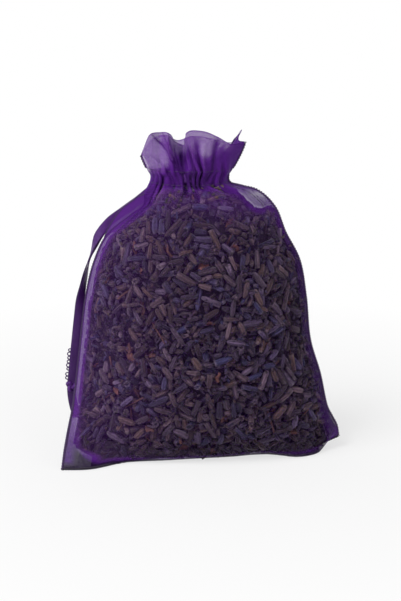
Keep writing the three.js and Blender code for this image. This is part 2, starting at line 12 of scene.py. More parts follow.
import bpy
import numpy as np
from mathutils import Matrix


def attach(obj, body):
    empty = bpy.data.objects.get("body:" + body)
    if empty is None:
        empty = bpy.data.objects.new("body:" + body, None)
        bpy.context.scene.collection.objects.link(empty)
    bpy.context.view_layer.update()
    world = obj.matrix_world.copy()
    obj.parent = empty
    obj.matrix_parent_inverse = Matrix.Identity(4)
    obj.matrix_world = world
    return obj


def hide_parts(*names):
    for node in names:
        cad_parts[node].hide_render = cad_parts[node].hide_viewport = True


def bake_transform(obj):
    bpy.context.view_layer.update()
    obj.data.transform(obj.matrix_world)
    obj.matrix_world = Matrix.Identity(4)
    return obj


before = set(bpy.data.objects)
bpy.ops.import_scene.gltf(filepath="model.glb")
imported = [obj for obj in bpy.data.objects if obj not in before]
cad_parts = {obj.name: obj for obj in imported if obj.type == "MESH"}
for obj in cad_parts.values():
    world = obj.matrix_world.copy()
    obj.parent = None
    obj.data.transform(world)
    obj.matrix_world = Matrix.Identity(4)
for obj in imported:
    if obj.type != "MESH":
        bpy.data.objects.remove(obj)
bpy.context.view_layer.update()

Array = np.ndarray
Place = tuple[float, float, float]
Colour = tuple[float, float, float]
Shares = tuple[Place, ...]
Random = np.random.Generator
Material = bpy.types.Material
Piece = bpy.types.Object

MM = 0.001
SEED = 7
LOG = logging.getLogger("sachet")

FOOT_ROW = 12.0
HEAD_ROW = 13.0
LIP_ROW = 14.0
SHOULDER_ROWS = (8.2, 9.4)

ALONG_Y = np.array([0.0, 1.0, 0.0])
ALONG_Z = np.array([0.0, 0.0, 1.0])


class Side(Enum):
    """The two panels, by the sign of their outward Y."""

    FRONT = -1
    BACK = 1


class Body(Enum):
    """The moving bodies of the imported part."""

    BAG = "bag"
    MOUTH = "drawstring_mouth"
    RUN = "drawstring"
    END = "drawstring_end"


class Slot(Enum):
    """The record's material slots."""

    ORGANZA = "organza"
    THREAD = "seam_thread"
    RIBBON = "satin_ribbon"
    BUDS = "dried_lavender"


def smoothstep(low: float, high: float, value: Array) -> Array:
    """Rise from 0 at low to 1 at high along 3t² - 2t³."""
    t = np.clip((np.asarray(value, float) - low) / (high - low), 0, 1)
    return t * t * (3 - 2 * t)


def unit(vectors: Array) -> Array:
    """Scale vectors to a length of 1."""
    return vectors / np.maximum(np.linalg.norm(vectors, axis=-1, keepdims=True), 1e-12)


def lengths_along(path: Array) -> Array:
    """Running length of a path at each of its points, 0 at the first."""
    steps = np.linalg.norm(np.diff(path, axis=0), axis=1)
    return np.concatenate([[0.0], np.cumsum(steps)])


def on_path(path: Array, wanted: Array) -> Array:
    """Points of a path at running lengths along it."""
    along = lengths_along(path)
    return np.stack([np.interp(wanted, along, path[:, k]) for k in range(3)], axis=1)


class Rail:
    """A smooth line through a few points: the solids' centripetal Catmull-Rom curve."""

    def __init__(self, points: Any) -> None:
        """Keep the points, with one more mirrored past each end."""
        self.points = np.asarray(points, float)
        ends = 2 * self.points[[0, -1]] - self.points[[1, -2]]
        self._padded = np.vstack([ends[:1], self.points, ends[1:]])

    def at(self, share: Any) -> Array:
        """Points at shares of the run.

        Each leg is a cubic whose end slopes weigh the neighbouring legs by the square roots of
        their lengths.

        Args:
            share: places along the run, each point of the rail an equal step from the last.

        Returns:
            The points, with a last axis of 3.
        """
        place = np.clip(np.asarray(share, float), 0, 1) * (len(self.points) - 1)
        leg = np.minimum(place.astype(int), len(self.points) - 2)
        w = (place - leg)[..., None]
        p0, p1, p2, p3 = (self._padded[leg + k] for k in range(4))
        d0, d1, d2 = (
            np.sqrt(np.linalg.norm(b - a, axis=-1, keepdims=True))
            for a, b in ((p0, p1), (p1, p2), (p2, p3))
        )
        start = ((p1 - p0) / d0 - (p2 - p0) / (d0 + d1) + (p2 - p1) / d1) * d1
        stop = ((p2 - p1) / d1 - (p3 - p1) / (d1 + d2) + (p3 - p2) / d2) * d1
        bend = 3 * (p2 - p1) - 2 * start - stop
        ease = 2 * (p1 - p2) + start + stop
        return p1 + start * w + bend * w**2 + ease * w**3

    def spaced(self, start: float, stop: float, count: int) -> Array:
        """Points an equal length apart between two shares of the run."""
        dense = self.at(np.linspace(start, stop, 40 * len(self.points)))
        return on_path(dense, np.linspace(0, lengths_along(dense)[-1], count))


@dataclass
class Patch:
    """Points, faces and what the points carry, on their way to a mesh."""

    points: Array
    quads: Array
    triangles: Array = field(default_factory=lambda: np.zeros((0, 3), int))
    uv: Array | None = None
    marks: dict[str, Array] = field(default_factory=dict)


def joined(patches: list[Patch]) -> Patch:
    """Put patches that carry the same marks into one, with their faces renumbered.

    Args:
        patches: the patches, each with a UV map.

    Returns:
        One patch.
    """
    starts = np.cumsum([0] + [len(p.points) for p in patches[:-1]])
    return Patch(
        np.concatenate([p.points for p in patches]),
        np.concatenate([p.quads + s for p, s in zip(patches, starts)]),
        np.concatenate([p.triangles + s for p, s in zip(patches, starts)]),
        np.concatenate([p.uv for p in patches]),
        {key: np.concatenate([p.marks[key] for p in patches]) for key in patches[0].marks},
    )


def grid_quads(rows: int, columns: int, ring: bool = False) -> Array:
    """Faces of a grid of points stored row by row.

    Args:
        rows: points up the grid.
        columns: points across the grid.
        ring: whether the last column meets the first.

    Returns:
        Four point numbers for each face.
    """
    index = np.arange(rows * columns).reshape(rows, columns)
    nearer = np.concatenate([index, index[:, :1]], axis=1) if ring else index
    corners = (nearer[:-1, :-1], nearer[:-1, 1:], nearer[1:, 1:], nearer[1:, :-1])
    return np.stack(corners, axis=-1).reshape(-1, 4)


def end_caps(rows: int, sides: int) -> Array:
    """Triangles that close a tube of rings to the two points after it, its foot and head.

    Args:
        rows: rings of the tube.
        sides: points of a ring.

    Returns:
        Three point numbers for each triangle.
    """
    ring = np.arange(sides)
    after = np.roll(ring, -1)
    pole = np.full(sides, rows * sides)
    top = (rows - 1) * sides
    foot = np.stack([pole, after, ring], axis=1)
    return np.vstack([foot, np.stack([pole + 1, ring + top, after + top], axis=1)])


def copied(faces: Array, points: int, copies: int) -> Array:
    """Repeat faces for copies of a shape that has that many points each."""
    shift = (np.arange(copies) * points)[:, None, None]
    return (faces[None] + shift).reshape(-1, faces.shape[1])


def piece(name: str, patch: Patch, finish: Material) -> Piece:
    """Make a smooth-shaded mesh object at the origin from a patch.

    Args:
        name: the piece's name.
        patch: its points and faces.
        finish: its material.

    Returns:
        The object, linked to the scene.
    """
    mesh = bpy.data.meshes.new(name)
    mesh.vertices.add(len(patch.points))
    mesh.vertices.foreach_set("co", patch.points.astype(np.float32).ravel())
    corners = np.concatenate([patch.quads.ravel(), patch.triangles.ravel()])
    sizes = np.repeat([4, 3], [len(patch.quads), len(patch.triangles)])
    mesh.loops.add(len(corners))
    mesh.loops.foreach_set("vertex_index", corners.astype(np.int32))
    mesh.polygons.add(len(sizes))
    first = np.concatenate([[0], np.cumsum(sizes)[:-1]])
    mesh.polygons.foreach_set("loop_start", first.astype(np.int32))
    if patch.uv is not None:
        layer = mesh.uv_layers.new(name="cloth")
        layer.data.foreach_set("uv", patch.uv[corners].astype(np.float32).ravel())
    for key, values in patch.marks.items():
        mark = mesh.attributes.new(key, "FLOAT", "POINT")
        mark.data.foreach_set("value", values.astype(np.float32))
    mesh.update(calc_edges=True)
    mesh.shade_smooth()
    mesh.materials.append(finish)
    made = bpy.data.objects.new(name, mesh)
    bpy.context.scene.collection.objects.link(made)
    return made


def frames_along(path: Array, up: Array) -> tuple[Array, Array]:
    """Two directions square to a path: one level with up as far as the path lets it, one across.

    Args:
        path: points of the path.
        up: a direction, or one for each point, that the path never follows.

    Returns:
        The direction nearest to up and the direction square to it, at each point.
    """
    tangent = unit(np.gradient(path, axis=0))
    across = unit(np.cross(tangent, np.broadcast_to(up, path.shape)))
    return np.cross(across, tangent), across


def thread(path: Array, radius: float, up: Array, sides: int = 6) -> Patch:
    """A round thread: a circle of that radius carried along a path, with its ends drawn to a point.

    Args:
        path: points of its middle line.
        radius: half its diameter.
        up: a direction that the path never follows.
        sides: points round it.

    Returns:
        The closed thread, its UV holding the length along it and the turn round it.
    """
    rise, across = frames_along(path, up)
    turn = np.arange(sides) * 2 * math.pi / sides
    cosine, sine = (wave(turn)[None, :, None] for wave in (np.cos, np.sin))
    spoke = cosine * rise[:, None] + sine * across[:, None]
    points = (path[:, None] + radius * spoke).reshape(-1, 3)
    along = np.repeat(lengths_along(path), sides)
    uv = np.stack([along, np.tile(turn / (2 * math.pi), len(path))], axis=1)
    return Patch(
        np.vstack([points, path[:1], path[-1:]]),
        grid_quads(len(path), sides, ring=True),
        end_caps(len(path), sides),
        np.vstack([uv, uv[:1], uv[-1:]]),
    )


def beside(axes: Array) -> tuple[Array, Array]:
    """Two unit directions square to each axis and to each other."""
    helper = np.where(np.abs(axes[:, 2:]) < 0.8, [[0.0, 0.0, 1.0]], [[1.0, 0.0, 0.0]])
    first = unit(np.cross(axes, helper))
    return first, np.cross(axes, first)


def spindles(
    centres: Array, axes: Array, lengths: Array, radii: Array, profile: Array, sides: int,
    bend: Array | None = None, twist: Array | None = None, rib: float = 0.0,
) -> Patch:
    """Many copies of one turned shape, each with its own place, direction, length and girth.

    A point of a copy lies at (t - 1/2) times the length along its axis, t being the share along
    the profile, and at the profile's radius times the copy's radius beside it. Every other point
    round the shape is drawn in by the rib share, and the axis is bowed sideways by
    4 (t - 1/2)² times bend.

    Args:
        centres: middle of each copy.
        axes: unit direction of each copy.
        lengths: length of each copy.
        radii: greatest radius of each copy.
        profile: rows of (share along, share of the radius), from one pole to the other.
        sides: points round the shape.
        bend: sideways bow of each copy.
        twist: turn of each copy about its axis.
        rib: share by which every other point is drawn in.

    Returns:
        All the copies, with a UV of the turn and the share along, and that share as a mark.
    """
    count = len(centres)
    turn = np.arange(sides) * 2 * math.pi / sides
    turns = turn[None] + (np.zeros(count) if twist is None else twist)[:, None]
    e1, e2 = beside(axes)
    rings = profile[1:-1]
    girth = rings[None, :, None, 1] * (1 - rib * (np.arange(sides) % 2))[None, None, :]
    cosine, sine = (wave(turns)[:, None, :, None] for wave in (np.cos, np.sin))
    side = cosine * e1[:, None, None] + sine * e2[:, None, None]
    bow = np.zeros(count) if bend is None else bend

    def spine(share: Array) -> Array:
        """Points of the bowed axes at shares along them."""
        reach = (share - 0.5)[None, :, None] * lengths[:, None, None] * axes[:, None]
        sag = 4 * ((share - 0.5) ** 2)[None, :, None] * bow[:, None, None] * e1[:, None]
        return centres[:, None] + reach + sag

    body = spine(rings[:, 0])[:, :, None] + radii[:, None, None, None] * girth[..., None] * side
    poles = spine(profile[[0, -1], 0])
    points = np.concatenate([body.reshape(count, -1, 3), poles], axis=1)
    size = len(rings) * sides + 2
    share = np.concatenate([np.repeat(rings[:, 0], sides), profile[[0, -1], 0]])
    round_it = np.concatenate([np.tile(turn / (2 * math.pi), len(rings)), [0.0, 0.0]])
    uv = np.tile(np.stack([round_it, share], axis=1), (count, 1))
    return Patch(
        points.reshape(-1, 3),
        copied(grid_quads(len(rings), sides, ring=True), size, count),
        copied(end_caps(len(rings), sides), size, count),
        uv,
        {"along": np.tile(share, count)},
    )


@dataclass
class BagShape:
    """The bag's own surface, worked out as the solids are.

    A row is the chord between the side seams, swollen towards the middle line of its panel. Rows
    0 to 12 climb from the bottom seam to the channel, 12 to 13 are the channel, and the ruffle
    opens from there to the lip at row 14.
    """

    corner_span: float = 87 * MM
    shoulder: float = 87 * MM
    front_fullness: float = 18.3 * MM
    back_fullness: float = 21.2 * MM
    heel_swell: float = 5 * MM
    neck_width: float = 24.2 * MM
    neck_depth: float = 12.4 * MM
    neck_offset: float = -2.8 * MM
    channel_height: float = 4.2 * MM
    ruffle_width: float = 31.8 * MM
    ruffle_depth: float = 15 * MM
    ruffle_height: float = 12.6 * MM
    ruffle_offset: float = -1.8 * MM
    neck_flare: float = 1.1 * MM
    panel_gap: float = 1 * MM
    floor: float = 0.2 * MM

    LEFT_SEAM = (
        (-0.972, -1.055, 0.0), (-0.956, -0.951, 0.06), (-0.943, -0.765, 0.099),
        (-0.929, -0.519, 0.136), (-0.91, -0.273, 0.184), (-0.887, -0.055, 0.282),
        (-0.855, 0.066, 0.42), (-0.816, 0.098, 0.569), (-0.752, 0.082, 0.701),
        (-0.653, 0.049, 0.805), (-0.49, 0.0, 0.876), (-0.377, 0.0, 0.924),
    )
    RIGHT_SEAM = (
        (1.025, 0.05, 0.048), (1.012, 0.1, 0.086), (0.979, 0.15, 0.117), (0.943, 0.17, 0.151),
        (0.92, 0.169, 0.195), (0.883, 0.131, 0.282), (0.805, 0.109, 0.414), (0.77, 0.109, 0.575),
        (0.718, 0.093, 0.713), (0.614, 0.055, 0.816), (0.538, 0.022, 0.908), (0.414, 0.0, 0.969),
    )
    FRONT_MIDDLE = (
        (0.029, 0.164, 0.0), (0.029, -0.191, -0.012), (0.029, -0.45, 0.0), (0.029, -0.735, 0.046),
        (0.025, -0.918, 0.126), (0.023, -1.0, 0.264), (0.011, -1.0, 0.425), (0.0, -0.94, 0.586),
        (-0.023, -0.82, 0.724), (-0.034, -0.656, 0.833), (-0.053, -0.508, 0.914),
        (-0.062, -0.404, 0.966),
    )
    BACK_MIDDLE = (
        (0.029, 0.142, 0.0), (0.029, 0.448, -0.012), (0.029, 0.708, 0.002), (0.029, 0.873, 0.052),
        (0.025, 0.972, 0.138), (0.023, 1.0, 0.276), (0.011, 0.972, 0.437), (0.0, 0.896, 0.598),
        (-0.023, 0.778, 0.73), (-0.034, 0.613, 0.833), (-0.053, 0.462, 0.914),
        (-0.062, 0.358, 0.966),
    )
    BOTTOM_SEAM = (
        (-0.972, -1.055, 0.0), (-0.772, -1.01, 0.0), (-0.572, -0.72, 0.0), (-0.371, -0.4, 0.0),
        (-0.171, -0.05, 0.0), (0.029, 0.164, 0.0), (0.229, 0.23, 0.0), (0.429, 0.246, 0.0),
        (0.63, 0.24, 0.0), (0.83, 0.16, 0.0), (1.025, 0.05, 0.048),
    )
    FRONT_LIP = (
        (-1, 0.13, 0.32), (-0.8, -0.6, 0.9), (-0.62, -0.4, 0.92), (-0.47, -0.73, 0.94),
        (-0.34, -0.27, 0.7), (-0.18, 0.2, 0.55), (-0.16, -0.67, 0.8), (-0.08, -1, 1),
        (0.2, -0.87, 0.99), (0.48, -0.67, 0.83), (0.72, -0.4, 0.64), (1, 0.13, 0.63),
    )
    BACK_LIP = (
        (-1, 0.13, 0.32), (-0.8, 0.8, 0.62), (-0.54, 0.53, 0.75), (-0.3, 1.07, 0.57),
        (-0.02, 0.67, 0.71), (0.25, 1.07, 0.64), (0.48, 0.67, 0.61), (0.68, 0.93, 0.53),
        (0.79, 0.6, 0.6), (0.94, 0.62, 0.87), (0.88, 0.45, 0.64), (1, 0.13, 0.63),
    )

    def __post_init__(self) -> None:
        """Lay the seams, middles and lips through their chosen shares."""
        front, back = self.front_fullness, self.back_fullness
        self.left_seam = self._rising(self.LEFT_SEAM, front, -1, 0)
        self.right_seam = self._rising(self.RIGHT_SEAM, front, 1, 0)
        self.middles = {
            Side.FRONT: self._rising(self.FRONT_MIDDLE, front, 0, -1),
            Side.BACK: self._rising(self.BACK_MIDDLE, back, 0, 1),
        }
        self.bottom_seam = Rail(self._body_points(self.BOTTOM_SEAM, front))
        self.lips = {Side.FRONT: self._lip(self.FRONT_LIP), Side.BACK: self._lip(self.BACK_LIP)}

    @property
    def channel_top(self) -> float:
        """Height of the upper row of channel stitches."""
        return self.shoulder + self.channel_height

    def _body_points(self, shares: Shares, fullness: float) -> Array:
        """Points from shares of half the corner span, a fullness and the shoulder height."""
        return np.array(shares) * (self.corner_span / 2, fullness, self.shoulder)

    def _rising(self, shares: Shares, fullness: float, across: float, forward: float) -> Rail:
        """A line up the bag that ends on the two rows of the neck.

        Args:
            shares: the line below the neck, in shares.
            fullness: what the shares along Y are taken of.
            across: place across the neck, -1 to 1.
            forward: place from the front of the neck, -1, to its back, 1.

        Returns:
            The line.
        """
        x = self.neck_offset + across * self.neck_width / 2
        y = forward * self.neck_depth / 2
        neck = [(x, y, self.shoulder), (x, y, self.channel_top)]
        return Rail(np.vstack([self._body_points(shares, fullness), neck]))

    def _lip(self, shares: Shares) -> Rail:
        """A lip of the ruffle from shares of its half width, half depth and height."""
        size = (self.ruffle_width / 2, self.ruffle_depth / 2, self.ruffle_height)
        return Rail(np.array(shares) * size + (self.ruffle_offset, 0, self.channel_top))

    def _row_point(self, side: Side, across: Array, row: Array) -> Array:
        """A row below the ruffle: 1 - |across|^power of the swell is added to the chord.

        Args:
            side: which panel.
            across: places between the side seams.
            row: places up the bag.

        Returns:
            The points, with a last axis of 3.
        """
        share = row / HEAD_ROW
        left, right = self.left_seam.at(share), self.right_seam.at(share)
        swell = self.middles[side].at(share) - (left + right) / 2
        squarer = np.where(across > 0, 6.0, -0.4)
        power = 2.6 + squarer * np.clip(1 - row / 5, 0, 1)
        crown = 1 - np.abs(across) ** power
        point = left + (right - left) * ((across + 1) / 2)[..., None] + swell * crown[..., None]
        point[..., 0] += self.neck_flare * across * smoothstep(12.4, HEAD_ROW, row)
        return point

    def _heel(self, side: Side, across: Array, row: Array) -> Array:
        """How far buds that settle into the right corner push the cloth out, as a round bump."""
        spread = np.exp(-(((across - 0.78) / 0.2) ** 2) - ((row - 1.7) / 1.3) ** 2)
        share = 1.0 if side is Side.FRONT else 0.35
        return self.heel_swell * share * spread * smoothstep(0, 1.2, row)

    def point(self, side: Side, across: Any, row: Any) -> Array:
        """Points of a panel's smooth surface.

        Args:
            side: which panel.
            across: place between the side seams, -1 to 1.
            row: place from the bottom seam, 0, to the lip, 14.

        Returns:
            The points, with a last axis of 3.
        """
        across, row = np.broadcast_arrays(np.asarray(across, float), np.asarray(row, float))
        point = self._row_point(side, across, np.minimum(row, HEAD_ROW))
        pull = self.bottom_seam.at((across + 1) / 2) - self._row_point(side, across, 0 * row)
        point = point + pull * (np.clip(1 - row / 3, 0, 1) ** 2)[..., None]
        swell = self._heel(side, across, row)
        point[..., 1] += side.value * swell
        point[..., 2] -= 0.6 * swell
        rise = np.clip(row - HEAD_ROW, 0, 1)
        flare = (1 - (1 - rise) ** 1.3)[..., None]
        lip = self.lips[side].at((across + 1) / 2)
        point[..., 2] += (lip[..., 2] - point[..., 2]) * rise
        point[..., :2] += (lip[..., :2] - point[..., :2]) * flare
        apart = 1 - 0.8 * np.abs(across) ** 12
        point[..., 1] += side.value * self.panel_gap / 2 * apart
        point[..., 2] = np.maximum(point[..., 2], self.floor)
        return point

    def width(self, side: Side, row: Array) -> Array:
        """Straight way from seam to seam along rows of a panel."""
        return np.linalg.norm(self.point(side, 1, row) - self.point(side, -1, row), axis=1)

    def normal(self, side: Side, across: Any, row: Any) -> Array:
        """Outward directions of a panel, square to small steps across it and up it.

        Args:
            side: which panel.
            across: places between the side seams.
            row: places up the bag.

        Returns:
            Unit directions, with a last axis of 3.
        """
        across, row = np.broadcast_arrays(np.asarray(across, float), np.asarray(row, float))
        step = 0.02
        along = self.point(side, np.minimum(across + step, 1), row)
        along -= self.point(side, np.maximum(across - step, -1), row)
        up = self.point(side, across, np.minimum(row + step, LIP_ROW))
        up -= self.point(side, across, np.maximum(row - step, 0))
        return unit(-side.value * np.cross(along, up))


@dataclass(frozen=True)
class Fold:
    """A sharp fold line on a panel, from a place on one row to a place on a higher one."""

    foot_row: float
    foot: float
    head_row: float
    head: float
    width: float = 0.035
    strength: float = 1.0

    def weight(self, across: Array, row: Array) -> Array:
        """The strength on the line, falling off beside it as exp(-d²) and fading at its ends."""
        share = np.clip((row - self.foot_row) / (self.head_row - self.foot_row), 0, 1)
        beside = (across - self.foot - (self.head - self.foot) * share) / self.width
        shown = smoothstep(self.foot_row - 0.35, self.foot_row, row)
        shown = shown * (1 - smoothstep(self.head_row - 0.3, self.head_row + 0.15, row))
        return self.strength * shown * np.exp(-(beside**2))


@dataclass
class GatheredCloth:
    """Folds laid over the bag's smooth surface.

    Pleats drawn up by the ribbon are waves across the bag that are deepest in the channel, fade
    down over the shoulders and join two by two in the ruffle. Sharp folds run together at the neck.
    """

    shape: BagShape
    pleats: float = 13
    pleat_depth: float = 0.55 * MM
    pleat_lean: float = 0.3 * MM
    fold_depth: float = 1.1 * MM
    crease_depth: float = 0.3 * MM
    mouth_opening: float = 1.5 * MM
    sharp_depth: float = 0.6 * MM
    selvedge_width: float = 3.4 * MM
    selvedge_lap: float = 0.9 * MM

    FOLDS = {
        Side.FRONT: (
            Fold(13.0, -0.22, 13.97, -0.8, 0.02), Fold(13.0, -0.2, 13.97, -0.6, 0.018, 0.7),
            Fold(12.9, -0.18, 13.97, -0.45, 0.022), Fold(12.8, -0.16, 13.9, -0.3, 0.03),
            Fold(13.0, -0.5, 13.5, -0.93, 0.02, 0.6), Fold(11.6, -0.9, 12.9, -0.5, 0.05, 0.8),
            Fold(11.2, -0.06, 13.75, -0.15, 0.05), Fold(12.7, 0.03, 13.6, 0.02, 0.03, -0.5),
            Fold(12.7, 0.1, 13.7, 0.14, 0.035), Fold(12.9, 0.17, 13.7, 0.24, 0.03, -0.6),
            Fold(12.6, 0.26, 13.75, 0.36, 0.035), Fold(12.9, 0.32, 13.8, 0.46, 0.03, -0.5),
            Fold(12.4, 0.48, 13.95, 0.64, 0.04), Fold(10.4, 0.44, 12.3, 0.22, 0.05),
            Fold(10.2, 0.74, 12.2, 0.5, 0.05), Fold(10.5, -0.46, 12.2, -0.36, 0.04),
            Fold(10.8, -0.78, 12.2, -0.66, 0.05), Fold(10.7, 0.14, 12.1, 0.06, 0.03),
        ),
        Side.BACK: (
            Fold(12.6, -0.4, 13.9, -0.66), Fold(12.6, -0.12, 13.8, -0.2),
            Fold(12.6, 0.2, 13.9, 0.3), Fold(12.6, 0.5, 13.9, 0.74),
            Fold(10.5, -0.5, 12.2, -0.4, 0.05), Fold(10.4, 0.02, 12.2, 0.04, 0.04),
            Fold(10.5, 0.56, 12.2, 0.44, 0.05),
        ),
    }

    def crease(self, side: Side, across: Array, row: Array) -> Array:
        """How sharply the cloth is folded: the sum of the fold lines, -1 to 1."""
        return np.clip(sum(fold.weight(across, row) for fold in self.FOLDS[side]), -1, 1)

    def phase(self, side: Side, across: Array, row: Array) -> Array:
        """Running angle of the pleats across a panel, one turn a pleat, uneven and meandering.

        Args:
            side: which panel.
            across: places between the side seams.
            row: places up the bag.

        Returns:
            Angles in radians.
        """
        return 2 * math.pi * (
            self.pleats * (across + 1) / 2
            + 0.33 * np.sin(5.3 * across + 1.1 * side.value)
            + 0.16 * np.sin(13.1 * across + 2.3 * side.value)
            + 0.22 * np.sin(2.2 * row + 4.3 * across + side.value)
        )

    def selvedge(self, row: Array) -> tuple[Array, Array, Array]:
        """The strip past the left seam of the shoulder: its foot, its direction and its width.

        Args:
            row: places up the bag.

        Returns:
            Points, unit directions and widths, one to a row.
        """
        seam = self.shape.left_seam.at(row / HEAD_ROW)
        outward = unit(np.cross(np.gradient(seam, axis=0), ALONG_Y))
        width = self.selvedge_width * smoothstep(8.6, 10.1, row) * (1 - smoothstep(11, 11.7, row))
        lap = self.selvedge_lap * smoothstep(8.6, 9.4, row)
        seam[:, 1] -= 0.25 * MM + 0.5 * MM * smoothstep(10, 10.8, row)
        return seam - lap[:, None] * outward, outward, width + lap

    def point(self, side: Side, across: Any, row: Any, inset: Any = 0.0, layer: int = 1) -> Array:
        """Points of the folded cloth.

        The pleats move the surface along its normal by depth times cos(phase), phase growing
        unevenly across the bag, and sideways by sin(2 phase), which makes each pleat lean over.

        Args:
            side: which panel.
            across: place between the side seams, -1 to 1.
            row: place from the bottom seam to the lip.
            inset: how far inside the panel's middle the points lie.
            layer: 1 for the outer cloth, -1 for the hem that is turned in.

        Returns:
            The points, with a last axis of 3.
        """
        across, row = np.broadcast_arrays(np.asarray(across, float), np.asarray(row, float))
        base = self.shape.point(side, across, row)
        normal = self.shape.normal(side, across, row)
        sideways = unit(self.shape.point(side, np.minimum(across + 0.02, 1), row)
                        - self.shape.point(side, np.maximum(across - 0.02, -1), row))
        phase = self.phase(side, across, row)
        edge = 1 - np.abs(across) ** 8
        uneven = 0.6 + 0.55 * np.sin(9.3 * across - 1.3 * row + 2 * side.value)
        gather = smoothstep(8.6, 12, row) * (1 - 0.65 * smoothstep(12.9, 13.5, row)) * edge * uneven
        merge = smoothstep(13.1, 14, row)
        channel = smoothstep(11.6, 12.1, row) * (1 - smoothstep(12.9, 13.5, row))
        wave = (1 - merge) * np.cos(phase) + 1.2 * merge * np.cos(phase / 2 + 0.6)
        lift = self.pleat_depth * gather * (wave + 0.6 * layer * channel)
        if side is Side.FRONT:
            valley = np.exp(-(((across + 0.04) / 0.09) ** 2) - ((row - 12.1) / 0.75) ** 2)
            lift = lift - self.fold_depth * valley
        body = smoothstep(0.6, 3, row) * (1 - smoothstep(9, 11.5, row)) * edge
        lift = lift + self.crease_depth * body * (
            np.sin(8 * across + 1.9 * row + side.value)
            * np.sin(3 * across - 1.3 * row + 0.5)
        )
        lift = lift - self.sharp_depth * edge * self.crease(side, across, row)
        opening = np.exp(-(((row - 11.4) / 0.45) ** 2)) * smoothstep(-0.8, -1, across)
        lift = lift + self.mouth_opening * opening
        point = base + normal * (lift - inset)[..., None]
        point = point + sideways * (self.pleat_lean * gather * np.sin(2 * phase))[..., None]
        point[..., 2] = np.maximum(point[..., 2], self.shape.floor)
        return point


